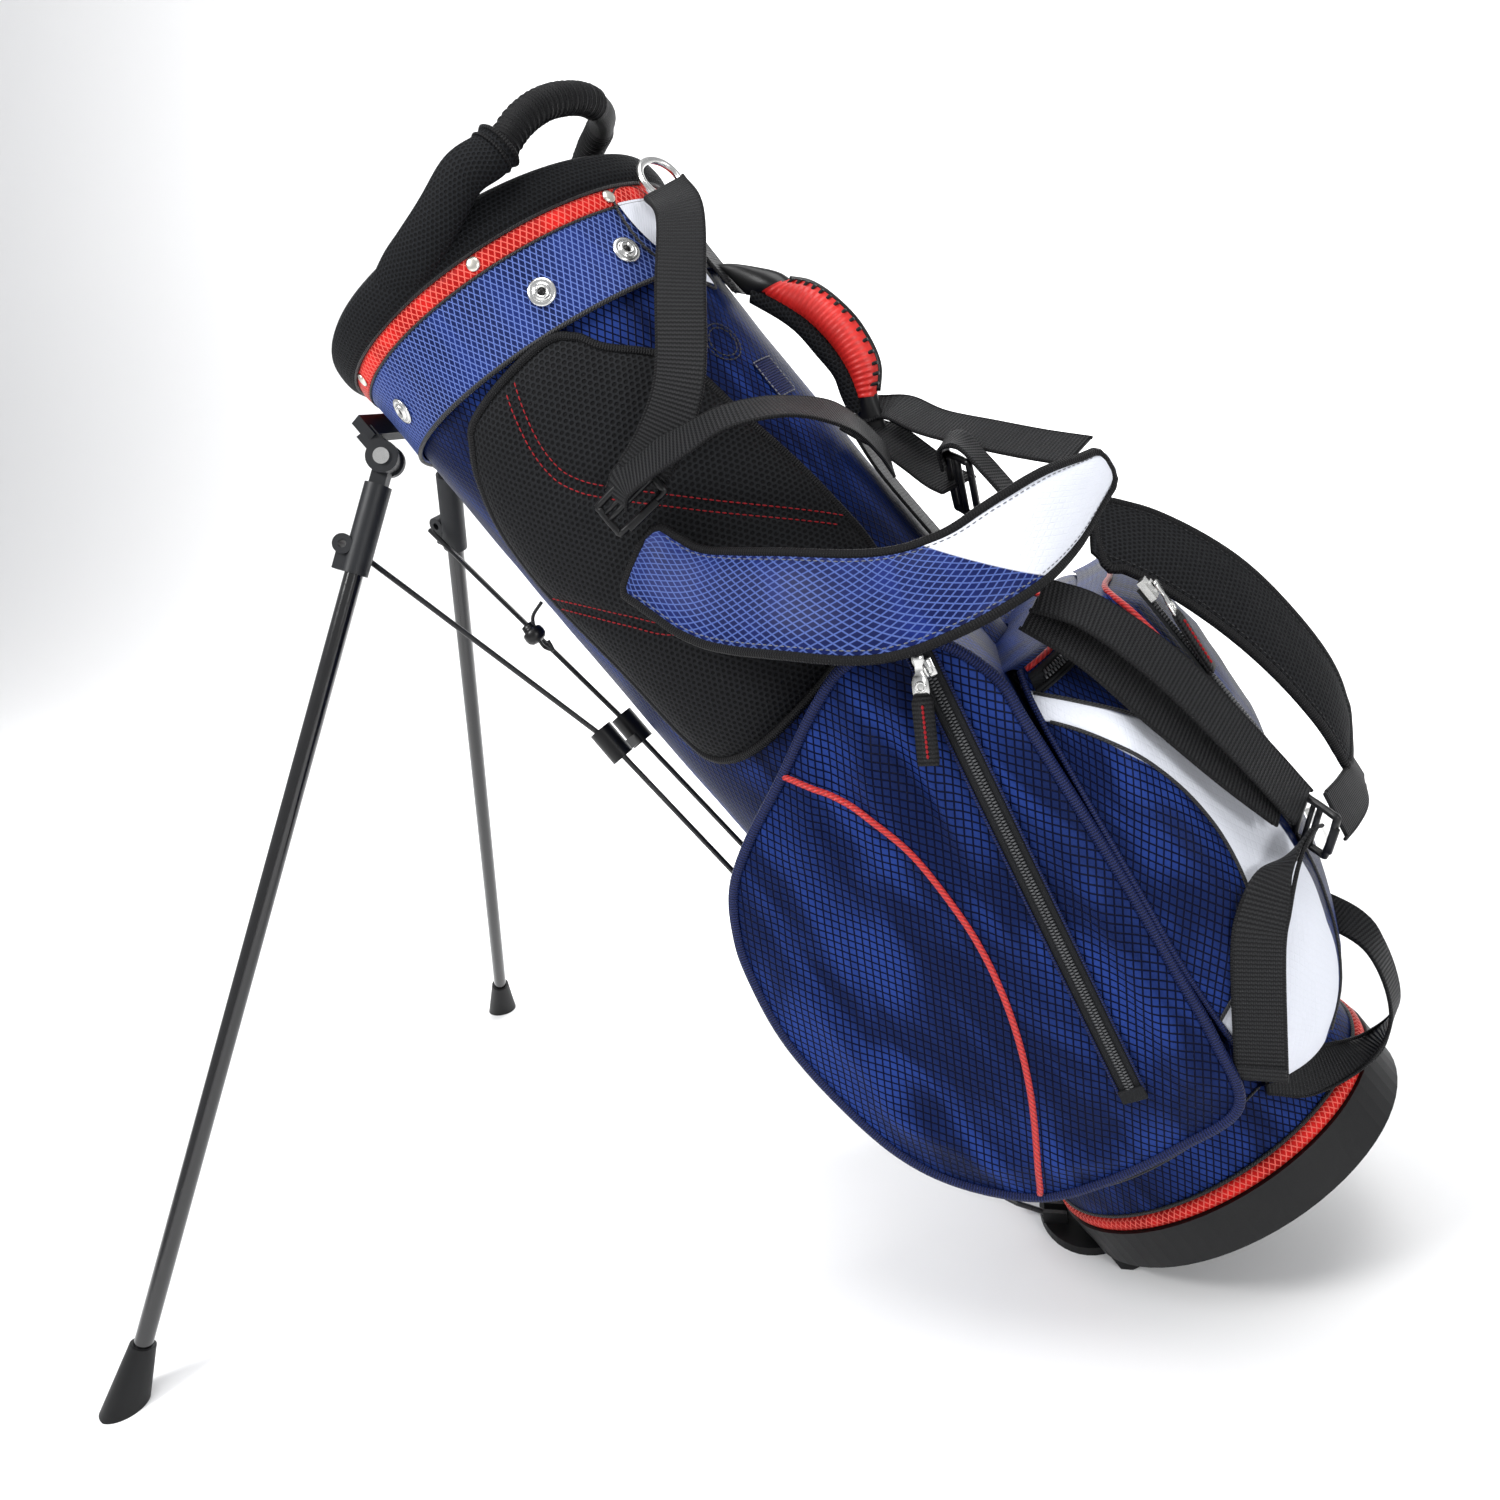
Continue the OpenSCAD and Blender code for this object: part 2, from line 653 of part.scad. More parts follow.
module leg_foot() {
    difference() {
        near_leg_frame() difference() {
            translate([0, 0, -leg_length - 8]) cylinder(r1 = 17, r2 = 9.5, h = 56);
            translate([0, 0, -leg_length + 28]) cylinder(r = leg_r, h = 80);
        }
        translate([-600, -400, -100]) cube([500, 800, 100]);
    }
}
module near_leg_sleeve() {
    color(black) leg_sleeve();
}
module near_leg_tube() {
    color(black) leg_tube();
}
module near_leg_foot() {
    color(black) leg_foot();
}
module far_leg_sleeve() {
    color(black) mirror([0, 1, 0]) leg_sleeve();
}
module far_leg_tube() {
    color(black) mirror([0, 1, 0]) leg_tube();
}
module far_leg_foot() {
    color(black) mirror([0, 1, 0]) leg_foot();
}

// The wires run down the front of the bag from the clip to the trigger foot
clip_at = [-172, -21, 529];
eye_tip = [-214.3, -54.6, 766.6];
lower_path = [clip_at - [0, 0, 4], [-164, -21, 393], [-167, -21, 70], [-167, -21, 52], [-163, -21, 44],
    [-148.3, -21, 25.5]];
module lower_wires() {
    color(black) bag() near_and_far() wire(lower_path, wire_r, [0, 1, 0], 10);
}
module wire_clip() {
    color(black) bag() {
        near_and_far() translate(clip_at) difference() {
            translate([0, 0, -14]) cylinder(r = 9.5, h = 28);
            translate([0, 0, -4]) cylinder(r = 7.5, h = 30);
            translate([0, 0, -20]) cylinder(r = wire_r + 0.7, h = 20);
        }
        translate([clip_at[0] - 4, -13.5, clip_at[2] - 13]) cube([8, 27, 8]);
    }
}
module upper_wire() {
    bag() wire([clip_at, eye_tip], wire_r, [0, 1, 0], 10);
}
module near_upper_wire() {
    color(black) upper_wire();
}
module far_upper_wire() {
    color(black) mirror([0, 1, 0]) upper_wire();
}

// Oval plate on the ground, with a neck to its hinge and channels that the wires press on
foot_x = axis_back - 106.6;
module trigger_foot() {
    color(black) difference() {
        union() {
            translate([foot_x, 0, 0.2]) linear_extrude(6.5) polygon(oval(38, 54));
            translate([foot_x + 15, -26, 1.5]) cube([34, 52, 7]);
            near_and_far() {
                for (y = [13, 24.5]) translate([foot_x - 33, y, 6]) cube([18, 4, 10]);
                translate([foot_x + 32, 20, 2]) cube([22, 6, 18]);
            }
            bag() translate([hinge_back, notch_half - 1, hinge_z])
                rotate([90, 0, 0]) cylinder(r = 9, h = 2 * notch_half - 2);
        }
        bag() translate([hinge_back, notch_half, hinge_z])
            rotate([90, 0, 0]) cylinder(r = pin_r + 0.05, h = 2 * notch_half);
    }
}

boot();
base_pan();
base_trim();
body_shell();
body_stays();
cuff_band();
cuff_trim();
collar_pad();
divider_rim();
divider_bars();
divider_panels();
near_hip_pad();
far_hip_pad();
near_side_pocket();
far_side_pocket();
ball_pocket();
accessory_pocket();
near_zip_tape();
far_zip_tape();
accessory_zip_tape();
ball_zip_tape();
carry_handle();
handle_sleeves();
grip_handle();
spine_webbing();
top_ring();
front_pad();
rear_pad();
ring_webbing();
cross_webbing();
shoulder_webbing();
lower_webbing();
strap_buckles();
base_loop();
snap_studs();
cap_rivets();
cord_lock();
stand_bracket();
pivot_rivets();
foot_pin();
near_leg_sleeve();
near_leg_tube();
near_leg_foot();
far_leg_sleeve();
far_leg_tube();
far_leg_foot();
lower_wires();
wire_clip();
near_upper_wire();
far_upper_wire();
trigger_foot();
near_zip_slider();
near_zip_pull();
far_zip_slider();
far_zip_pull();
accessory_zip_slider();
accessory_zip_pull();
ball_zip_slider();
ball_zip_pull();
strap_tail();
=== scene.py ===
"""Looks of the golf stand bag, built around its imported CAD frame.

Lengths are in millimetres in the bag's own frame (x to the strap side, y across with the near
side negative, z up the bag's axis) until a mesh is made; meshes are in metres in the row frame.
"""
import bpy
import bmesh
from math import acos, asin, atan2, cos, degrees, exp, pi, radians, sin, sqrt, tan
from mathutils import Matrix, Vector, noise


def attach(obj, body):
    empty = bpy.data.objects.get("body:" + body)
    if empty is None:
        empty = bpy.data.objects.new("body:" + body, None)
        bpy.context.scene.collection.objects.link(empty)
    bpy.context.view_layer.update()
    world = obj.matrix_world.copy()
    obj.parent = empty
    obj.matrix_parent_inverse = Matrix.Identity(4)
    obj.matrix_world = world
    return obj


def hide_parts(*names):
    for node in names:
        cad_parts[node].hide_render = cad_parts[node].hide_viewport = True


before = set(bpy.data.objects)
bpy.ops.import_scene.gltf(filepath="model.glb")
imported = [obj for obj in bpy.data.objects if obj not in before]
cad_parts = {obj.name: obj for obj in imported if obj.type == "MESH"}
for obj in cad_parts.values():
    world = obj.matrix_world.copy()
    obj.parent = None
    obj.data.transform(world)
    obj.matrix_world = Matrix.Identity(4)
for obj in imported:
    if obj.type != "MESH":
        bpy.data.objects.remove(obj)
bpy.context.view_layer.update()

# ---------------------------------------------------------------- the bag's frame

LEAN = radians(56.33)
DORSAL = Vector((sin(LEAN), 0, cos(LEAN)))
AXIS = Vector((-cos(LEAN), 0, sin(LEAN)))
ORIGIN = Vector((346.5, 0, 71))
ACROSS = Vector((0, 1, 0))
Z_UP = Vector((0, 0, 1))
MOUTH_Z = 813
MOUTH_TILT = radians(10.5)


def bag(p):
    """A bag-frame point in millimetres as a row-frame point in metres."""
    return (ORIGIN + DORSAL * p[0] + ACROSS * p[1] + AXIS * p[2]) / 1000


def row(p):
    """A row-frame point in millimetres as one in metres."""
    return Vector(p) / 1000


def mix(a, b, t):
    return a + (b - a) * t


def smooth(t):
    t = max(0.0, min(1.0, t))
    return t * t * (3 - 2 * t)


def lookup(x, table):
    """Linear interpolation in a list of (x, value) pairs."""
    if x <= table[0][0]:
        return table[0][1]
    for (x0, v0), (x1, v1) in zip(table, table[1:]):
        if x <= x1:
            return mix(v0, v1, (x - x0) / (x1 - x0))
    return table[-1][1]


def bag_x(z):
    """Where the shell's middle is at a height; bag_a and bag_b are its half depth and half width."""
    return lookup(z, [(-20, 0), (60, 0), (220, -8), (640, -12), (800, -8)])


def bag_a(z):
    return lookup(z, [(60, 126), (220, 124)])


def bag_b(z):
    return lookup(z, [(60, 109), (220, 108), (640, 109), (800, 114)])


def skin(angle, z, off):
    """A point off the shell's surface; angle 0 is the back and 90 the near side."""
    t = radians(angle)
    return Vector((
        bag_x(z) + (bag_a(z) + off) * cos(t),
        -(bag_b(z) + off) * sin(t),
        z))


def mouth_z(angle, above=0.0):
    """Height of the mouth plane over a place on the shell."""
    x = 124 * cos(radians(angle))
    return MOUTH_Z + above - (x + 8) * tan(MOUTH_TILT)


def mouth(x, y, z):
    """A point of the tilted mouth's frame in the bag's frame."""
    c, s = cos(MOUTH_TILT), sin(MOUTH_TILT)
    return Vector((-8 + x * c + z * s, y, MOUTH_Z - x * s + z * c))


def wave(p, size, seed=0.0):
    """Smooth noise from -1 to 1; size is the length of its waves."""
    return noise.noise(Vector((p[0] / size + seed, p[1] / size - seed, p[2] / size + 3.1 * seed)))


# ---------------------------------------------------------------- mesh makers

def make(name, verts, faces, material, uvs, place=bag, body="bag", slot=None, replaces=()):
    """A mesh piece; uvs holds one pair in metres for every corner of every face."""
    mesh = bpy.data.meshes.new(name)
    mesh.from_pydata([place(v) for v in verts], [], faces)
    layer = mesh.uv_layers.new(name="weave")
    layer.data.foreach_set("uv", [c for uv in uvs for c in uv])
    mesh.polygons.foreach_set("use_smooth", [True] * len(mesh.polygons))
    mesh.update()
    obj = bpy.data.objects.new(name, mesh)
    bpy.context.scene.collection.objects.link(obj)
    obj.data.materials.append(material)
    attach(obj, body)
    slot or SLOTS.get(material, "navy_ripstop")
    if replaces:
        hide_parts(*replaces)
    return obj


def lengths(points):
    total = [0.0]
    for a, b in zip(points, points[1:]):
        total.append(total[-1] + (b - a).length)
    return total


def grid_mesh(point, nu, nv, close_u=False, close_v=False, weave=None):
    """Vertices, faces and UVs of a surface; point takes u and v from 0 to 1."""
    cols = nu if close_u else nu + 1
    rows = nv if close_v else nv + 1
    verts = [Vector(point(i / nu, j / nv)) for j in range(rows) for i in range(cols)]
    if weave is None:
        across = lengths([verts[(rows // 2) * cols + i % cols] for i in range(nu + 1)])
        along = lengths([verts[(j % rows) * cols + cols // 3] for j in range(nv + 1)])
        weave = lambda i, j: (across[i] / 1000, along[j] / 1000)
    faces, uvs = [], []
    for j in range(nv):
        for i in range(nu):
            corners = ((i, j), (i + 1, j), (i + 1, j + 1), (i, j + 1))
            faces.append([(b % rows) * cols + a % cols for a, b in corners])
            uvs.extend(weave(a, b) for a, b in corners)
    return verts, faces, uvs


def surface(name, point, nu, nv, material, close_u=False, close_v=False, **where):
    return group(name, [grid_mesh(point, nu, nv, close_u, close_v)], material, **where)


def spline(points, steps=8, closed=False):
    """Catmull-Rom points through a list of vectors."""
    pts = [Vector(p) for p in points]
    n = len(pts)
    out = []
    for i in range(n if closed else n - 1):
        p0 = pts[(i - 1) % n] if closed or i else pts[0] * 2 - pts[1]
        p1, p2 = pts[i], pts[(i + 1) % n]
        p3 = pts[(i + 2) % n] if closed or i + 2 < n else pts[-1] * 2 - pts[-2]
        for k in range(steps):
            t = k / steps
            out.append(0.5 * (2 * p1 + (p2 - p0) * t + (2 * p0 - 5 * p1 + 4 * p2 - p3) * t * t
                              + (3 * p1 - p0 - 3 * p2 + p3) * t ** 3))
    if not closed:
        out.append(pts[-1])
    return out


def frames_along(points, closed=False, up=None):
    """A tangent, normal and binormal at each point of a path, without twist."""
    n = len(points)
    out = []
    side = Vector(up) if up else None
    for i, p in enumerate(points):
        before = points[(i - 1) % n] if closed or i else p
        after = points[(i + 1) % n] if closed or i + 1 < n else p
        t = (after - before).normalized()
        if side is None:
            side = t.orthogonal()
        nrm = (side - t * side.dot(t)).normalized()
        side = nrm
        out.append((t, nrm, t.cross(nrm)))
    return out


def ring_faces(sides, stations, around, along, closed=False, caps=True):
    """Faces and UVs between rings of points; around takes a station and a side, both in metres."""
    faces, uvs = [], []
    for i in range(stations if closed else stations - 1):
        for k in range(sides):
            j, m = (i + 1) % stations, (k + 1) % sides
            faces.append([i * sides + k, i * sides + m, j * sides + m, j * sides + k])
            left, right = around(i, k)
            uvs.extend([(left, along[i]), (right, along[i]), (right, along[i + 1]), (left, along[i + 1])])
    if caps and not closed:
        last = (stations - 1) * sides
        faces += [list(range(sides))[::-1], list(range(last, last + sides))]
        uvs += [(0, 0)] * (2 * sides)
    return faces, uvs


def tube_mesh(points, radius, sides=10, closed=False, up=None):
    """A round bar along a path; radius is a number or a function of the distance along it."""
    dist = lengths(points)
    size = radius if callable(radius) else (lambda s: radius)
    verts = []
    for p, (_, a, b), s in zip(points, frames_along(points, closed, up), dist):
        for k in range(sides):
            w = 2 * pi * k / sides
            verts.append(p + (a * cos(w) + b * sin(w)) * size(s))

    def around(i, k):
        r = size(dist[i]) * 2 * pi / sides / 1000
        return k * r, (k + 1) * r
    along = [d / 1000 for d in dist + [dist[-1] + (points[0] - points[-1]).length]]
    return (verts, *ring_faces(sides, len(points), around, along, closed))


def tube(name, points, radius, material, sides=10, closed=False, **where):
    return group(name, [tube_mesh(points, radius, sides, closed)], material, **where)


def group(name, parts, material, **where):
    """One piece out of several (verts, faces, uvs)."""
    verts, faces, uvs = [], [], []
    for v, f, u in parts:
        base = len(verts)
        verts.extend(v)
        faces.extend([base + k for k in face] for face in f)
        uvs.extend(u)
    return make(name, verts, faces, material, uvs, **where)


def stitch_mesh(points, dash, space, r):
    """Thread dashes along a path."""
    dist = lengths(points)
    parts = []

    def at(s):
        for k in range(len(dist) - 1):
            if dist[k + 1] >= s:
                f = (s - dist[k]) / max(1e-9, dist[k + 1] - dist[k])
                return points[k].lerp(points[k + 1], f)
        return points[-1]
    s = space
    while s + dash < dist[-1]:
        ends = [at(s + dash * f) for f in (0, 0.2, 0.5, 0.8, 1)]
        parts.append(tube_mesh(ends, lambda q: r * (0.45 + 0.55 * sin(pi * min(1, q / dash))),
                               sides=5))
        s += dash + space
    return parts


def strap_section(w, half_t):
    """Corner-rounded flat section as (across from -1 to 1, depth) pairs."""
    edge = [(1 - half_t * 0.5 / w * (1 - cos(a)), half_t * sin(a))
            for a in (radians(k) for k in (60, 20, -20, -60))]
    across = [-x for x in (0.9, 0.6, 0.3, 0, -0.3, -0.6, -0.9)]
    return [(x, half_t) for x in across] + edge + [(-x, -half_t) for x in across] \
        + [(-x, d) for x, d in reversed(edge)]


def band_mesh(path, halves, thick):
    """A flat strap through points with half-width vectors."""
    pts, hs = spline(path, 10), spline(halves, 10)
    n = len(pts)
    w = hs[n // 2].length
    section = strap_section(w, thick / 2)
    verts = []
    for i, (p, h) in enumerate(zip(pts, hs)):
        t = (pts[min(i + 1, n - 1)] - pts[max(i - 1, 0)]).normalized()
        h = h - t * h.dot(t)
        nrm = t.cross(h).normalized()
        verts.extend(p + h * x + nrm * d for x, d in section)
    u = [x * w / 1000 for x, _ in section]
    along = [d / 1000 for d in lengths(pts)]
    return (verts, *ring_faces(len(u), n, lambda i, k: (u[k], u[(k + 1) % len(u)]), along))


def lathe_mesh(centre, axis, profile, sides=32):
    """A turned shape; the profile lists (distance along the axis, radius)."""
    axis = Vector(axis).normalized()
    a = axis.orthogonal().normalized()
    b = axis.cross(a)
    verts = [Vector(centre) + axis * d + (a * cos(w) + b * sin(w)) * r
             for d, r in profile for w in (2 * pi * k / sides for k in range(sides))]
    along = [i / 1000 for i in range(len(profile) + 1)]
    return (verts, *ring_faces(sides, len(profile), lambda i, k: (k / 1000, (k + 1) / 1000), along))


def mirrored(mesh):
    """The same mesh on the far side of the bag."""
    verts, faces, uvs = mesh
    flipped = []
    turned = []
    at = 0
    for face in faces:
        n = len(face)
        flipped.append(face[::-1])
        turned.extend(uvs[at:at + n][::-1])
        at += n
    return [Vector((v[0], -v[1], v[2])) for v in verts], flipped, turned


SIDES = (("near", lambda mesh: mesh), ("far", mirrored))


def both(meshes):
    """Meshes of the near side and their mirror images."""
    return meshes + [mirrored(mesh) for mesh in meshes]


def block_mesh(centre, size, axes, bevel=0.8):
    """A box with bevelled edges; axes are its three unit directions."""
    bm = bmesh.new()
    bmesh.ops.create_cube(bm, size=1.0)
    for v in bm.verts:
        v.co = Vector((v.co[i] * size[i] for i in range(3)))
    bmesh.ops.bevel(bm, geom=list(bm.edges), offset=bevel, segments=3, affect="EDGES", profile=0.5)
    centre = Vector(centre)
    verts = [centre + axes[0] * v.co.x + axes[1] * v.co.y + axes[2] * v.co.z for v in bm.verts]
    faces = [[v.index for v in f.verts] for f in bm.faces]
    uvs = [(verts[k][0] / 1000, verts[k][2] / 1000) for f in faces for k in f]
    bm.free()
    return verts, faces, uvs


# ---------------------------------------------------------------- materials

class Shade:
    """A Principled material under construction."""

    def __init__(self, name, colour, roughness, **sockets):
        self.material = bpy.data.materials.new(name)
        self.material.use_nodes = True
        self.nodes = self.material.node_tree.nodes
        self.links = self.material.node_tree.links
        self.shader = self.nodes["Principled BSDF"]
        self.shader.inputs["Base Color"].default_value = (*colour, 1)
        self.shader.inputs["Roughness"].default_value = roughness
        for key, value in sockets.items():
            self.shader.inputs[key.replace("_", " ")].default_value = value

    def put(self, socket, value):
        if isinstance(value, bpy.types.NodeSocket):
            self.links.new(value, socket)
        elif isinstance(value, tuple):
            socket.default_value = (*value, 1)
        else:
            socket.default_value = value

    def calc(self, operation, *values):
        node = self.nodes.new("ShaderNodeMath")
        node.operation = operation
        for socket, value in zip(node.inputs, values):
            self.put(socket, value)
        return node.outputs[0]

    def times(self, a, b):
        return self.calc("MULTIPLY", a, b)

    def plus(self, a, b):
        return self.calc("ADD", a, b)

    def minus(self, a, b):
        return self.calc("SUBTRACT", a, b)

    def scaled(self, value, factor, shift):
        return self.calc("MULTIPLY_ADD", value, factor, shift)

    def sine(self, value):
        return self.calc("SINE", value)

    def bounce(self, value, top):
        """Runs from 0 up to top and back, over and over."""
        return self.calc("PINGPONG", value, top)

    def power(self, value, exponent):
        return self.calc("POWER", value, exponent)

    def step(self, value, low, high, at_low=0.0, at_high=1.0):
        node = self.nodes.new("ShaderNodeMapRange")
        node.interpolation_type = "SMOOTHSTEP"
        for socket, number in zip(node.inputs, (value, low, high, at_low, at_high)):
            self.put(socket, number)
        return node.outputs[0]

    def mix(self, factor, a, b):
        node = self.nodes.new("ShaderNodeMix")
        node.data_type = "RGBA"
        for socket, value in zip((node.inputs[0], node.inputs[6], node.inputs[7]), (factor, a, b)):
            self.put(socket, value)
        return node.outputs[2]

    def weave(self):
        """The UV coordinates in millimetres."""
        node = self.nodes.new("ShaderNodeSeparateXYZ")
        self.links.new(self.nodes.new("ShaderNodeTexCoord").outputs["UV"], node.inputs[0])
        return [self.times(node.outputs[k], 1000.0) for k in (0, 1)]

    def place(self, axis):
        """Millimetres from the bag frame's origin along a direction, at rest."""
        shift = self.nodes.new("ShaderNodeVectorMath")
        shift.operation = "SUBTRACT"
        self.links.new(self.nodes.new("ShaderNodeTexCoord").outputs["Object"], shift.inputs[0])
        shift.inputs[1].default_value = ORIGIN / 1000
        node = self.nodes.new("ShaderNodeVectorMath")
        node.operation = "DOT_PRODUCT"
        self.links.new(shift.outputs[0], node.inputs[0])
        node.inputs[1].default_value = axis * 1000
        return node.outputs["Value"]

    def noise(self, size, detail=2.0):
        """Noise from 0 to 1 whose waves are about size millimetres long."""
        node = self.nodes.new("ShaderNodeTexNoise")
        self.links.new(self.nodes.new("ShaderNodeTexCoord").outputs["Object"], node.inputs["Vector"])
        node.inputs["Scale"].default_value = 1000 / size
        node.inputs["Detail"].default_value = detail
        return node.outputs[0]

    def streaks(self, size, squeeze):
        """Noise drawn out along the bag's axis, for painted sheen: the light and shade on soft folds."""
        joined = self.nodes.new("ShaderNodeCombineXYZ")
        for socket, value in zip(joined.inputs, (self.place(DORSAL), self.place(ACROSS),
                                                 self.times(self.place(AXIS), squeeze))):
            self.put(socket, value)
        node = self.nodes.new("ShaderNodeTexNoise")
        self.links.new(joined.outputs[0], node.inputs["Vector"])
        node.inputs["Scale"].default_value = 1 / size
        node.inputs["Detail"].default_value = 2.0
        node.inputs["Distortion"].default_value = 0.6
        return node.outputs[0]

    def finish(self, colour, roughness, height, depth):
        """Colour, roughness and a bump: height runs from 0 to 1, depth is in millimetres."""
        self.put(self.shader.inputs["Base Color"], colour)
        self.put(self.shader.inputs["Roughness"], roughness)
        node = self.nodes.new("ShaderNodeBump")
        node.inputs["Strength"].default_value = 1.0
        node.inputs["Distance"].default_value = depth / 1000
        self.put(node.inputs["Height"], height)
        self.links.new(node.outputs[0], self.shader.inputs["Normal"])
        return self.material


def tone(colour, factor):
    return tuple(min(1, c * factor) for c in colour)


NAVY_CELL, NAVY_THREAD = (0.0075, 0.0195, 0.098), (0.001, 0.002, 0.014)
WHITE = (0.76, 0.78, 0.84)
DARK_BLACK = (0.0015, 0.0015, 0.002)


def lattice(s, wide, tall):
    """1 on the raised threads of a diamond lattice and 0 in its cells."""
    u, v = s.weave()
    a, b = s.times(u, 1 / wide), s.times(v, 1 / tall)
    nearest = s.calc("MINIMUM", s.bounce(s.plus(a, b), 0.5), s.bounce(s.minus(a, b), 0.5))
    return s.step(nearest, 0.05, 0.16, 1.0, 0.0)


def ribs(s, value, pitch):
    """Even ribs across a value in millimetres, from 0 to 1."""
    return s.scaled(s.sine(s.times(value, 2 * pi / pitch)), 0.5, 0.5)


def fine_weave(s, pitch):
    """A plain weave of crossing threads, from 0 to 1."""
    u, v = (s.sine(s.times(value, 2 * pi / pitch)) for value in s.weave())
    return s.scaled(s.times(u, v), 0.5, 0.5)


def ripstop(name, cell, thread_and_glint, wide=5.5, tall=8.0, gloss=0.46, white=None, shine=0.06, sheen=2.1):
    """Coated nylon with a raised diamond lattice and painted sheen; white gives a mask for its white panels."""
    s = Shade(name, cell, gloss, Specular_IOR_Level=shine)
    line = lattice(s, wide, tall)
    # Painted sheen: along the streaks the cells run from a painted shade (0.6 of their colour) to a painted
    # highlight (sheen times it).
    painted_sheen = s.streaks(34, 0.3)
    # The lattice threads take the second colour. On the navy shell it is the threads' own dark colour. On the
    # cuff, red and pad cloth it is a painted glint.
    colour = s.mix(line, s.mix(s.step(painted_sheen, 0.38, 0.7), tone(cell, 0.6), tone(cell, sheen)), thread_and_glint)
    rough = s.plus(s.times(line, -0.08), s.scaled(painted_sheen, 0.16, gloss - 0.08))
    grain = fine_weave(s, 1.1)
    height = s.scaled(grain, 0.12, line)
    if white:
        mask = white(s)
        colour = s.mix(mask, colour, s.mix(s.times(grain, 0.35), WHITE, (0.56, 0.59, 0.68)))
        rough = s.calc("MAXIMUM", rough, s.times(mask, 0.55))
        height = s.times(height, s.scaled(mask, -0.6, 1.0))
    return s.finish(colour, rough, height, 0.28)


def white_cloth(name):
    s = Shade(name, WHITE, 0.5, Sheen_Weight=0.2)
    grain = fine_weave(s, 1.5)
    colour = s.mix(s.times(grain, 0.4), WHITE, (0.55, 0.58, 0.68))
    return s.finish(colour, s.scaled(grain, 0.15, 0.45), grain, 0.2)


def air_mesh(name, pitch=3.9, rib=(0.012, 0.0128, 0.0145)):
    """Spacer mesh: rows of staggered round holes."""
    s = Shade(name, rib, 0.75, Specular_IOR_Level=0.15)
    u, v = s.weave()
    half, tall = pitch / 2, pitch * 0.866
    du, dv = s.bounce(u, half), s.bounce(v, tall)
    near, far = (s.calc("SQRT", s.plus(s.power(a, 2.0), s.power(b, 2.0)))
                 for a, b in ((du, dv), (s.minus(half, du), s.minus(tall, dv))))
    edge = s.step(s.calc("MINIMUM", near, far), pitch * 0.22, pitch * 0.42)
    fuzz = s.noise(1.6, 3.0)
    return s.finish(s.mix(s.times(edge, s.scaled(fuzz, 0.7, 0.55)), DARK_BLACK, rib),
                    s.scaled(fuzz, 0.25, 0.6), s.scaled(fuzz, 0.25, edge), 0.9)


def webbing(name, high, low, pitch, gloss):
    """Woven strap: cross ribs broken up by lengthwise threads, with a painted highlight on the ribs and painted
    shade in the grooves.
    """
    s = Shade(name, high, gloss, Specular_IOR_Level=0.2)
    u, v = s.weave()
    slant = s.plus(v, s.times(s.bounce(u, 1.2), 0.35))
    height = s.times(ribs(s, slant, pitch), s.scaled(ribs(s, u, 1.2), 0.35, 0.65))
    wear_and_highlight = s.noise(25, 3.0)
    # Painted highlight and shade: the rib tops take the lighter colour and the grooves the darker one, more
    # strongly in the noise's patches.
    return s.finish(s.mix(s.times(height, s.scaled(wear_and_highlight, 0.5, 0.7)), low, high),
                    s.scaled(wear_and_highlight, 0.2, gloss - 0.05), height, 0.55)


def twisted(name, high, low, pitch=3.4, gloss=0.4):
    """Corded piping: slanting strands along a round bead."""
    s = Shade(name, high, gloss, Sheen_Weight=0.1)
    u, v = s.weave()
    strand = ribs(s, s.plus(v, u), pitch)
    return s.finish(s.mix(strand, low, high), s.scaled(strand, -0.1, gloss + 0.1), strand, 0.4)


def moulded(name, colour, gloss, grain=0.6, depth=0.06, **sockets):
    """Moulded plastic or rubber with a fine grain and rubbed patches."""
    s = Shade(name, colour, gloss, **sockets)
    fine, wide = s.noise(grain, 2.0), s.noise(18, 4.0)
    return s.finish(s.mix(wide, tone(colour, 0.8), tone(colour, 1.3)),
                    s.plus(s.times(fine, 0.12), s.scaled(wide, 0.16, gloss - 0.12)), fine, depth)


def metal(name, colour, gloss):
    s = Shade(name, colour, gloss, Metallic=1.0)
    fine, wide = s.noise(4.0, 3.0), s.noise(9, 3.0)
    return s.finish(s.mix(wide, tone(colour, 0.82), colour), s.scaled(fine, 0.12, gloss - 0.05), fine, 0.01)


def cloth(name, colour, pitch=1.2, gloss=0.7):
    """Plain woven cloth for linings, bindings and tapes."""
    s = Shade(name, colour, gloss, Specular_IOR_Level=0.2)
    grain, wide = fine_weave(s, pitch), s.noise(30, 3.0)
    return s.finish(s.mix(s.times(grain, s.scaled(wide, 0.4, 0.6)), tone(colour, 0.35), colour),
                    s.scaled(wide, 0.15, gloss - 0.07), grain, 0.2)


def ellipse(s, cx, cz, rx, rz):
    """1 inside an ellipse of the bag's x and z, 0 outside it."""
    a, b = s.scaled(s.place(DORSAL), 1 / rx, -cx / rx), s.scaled(s.place(AXIS), 1 / rz, -cz / rz)
    d = s.plus(s.power(s.calc("ABSOLUTE", a), 2.0), s.power(s.calc("ABSOLUTE", b), 2.0))
    return s.step(d, 0.988, 1.012, 1.0, 0.0)


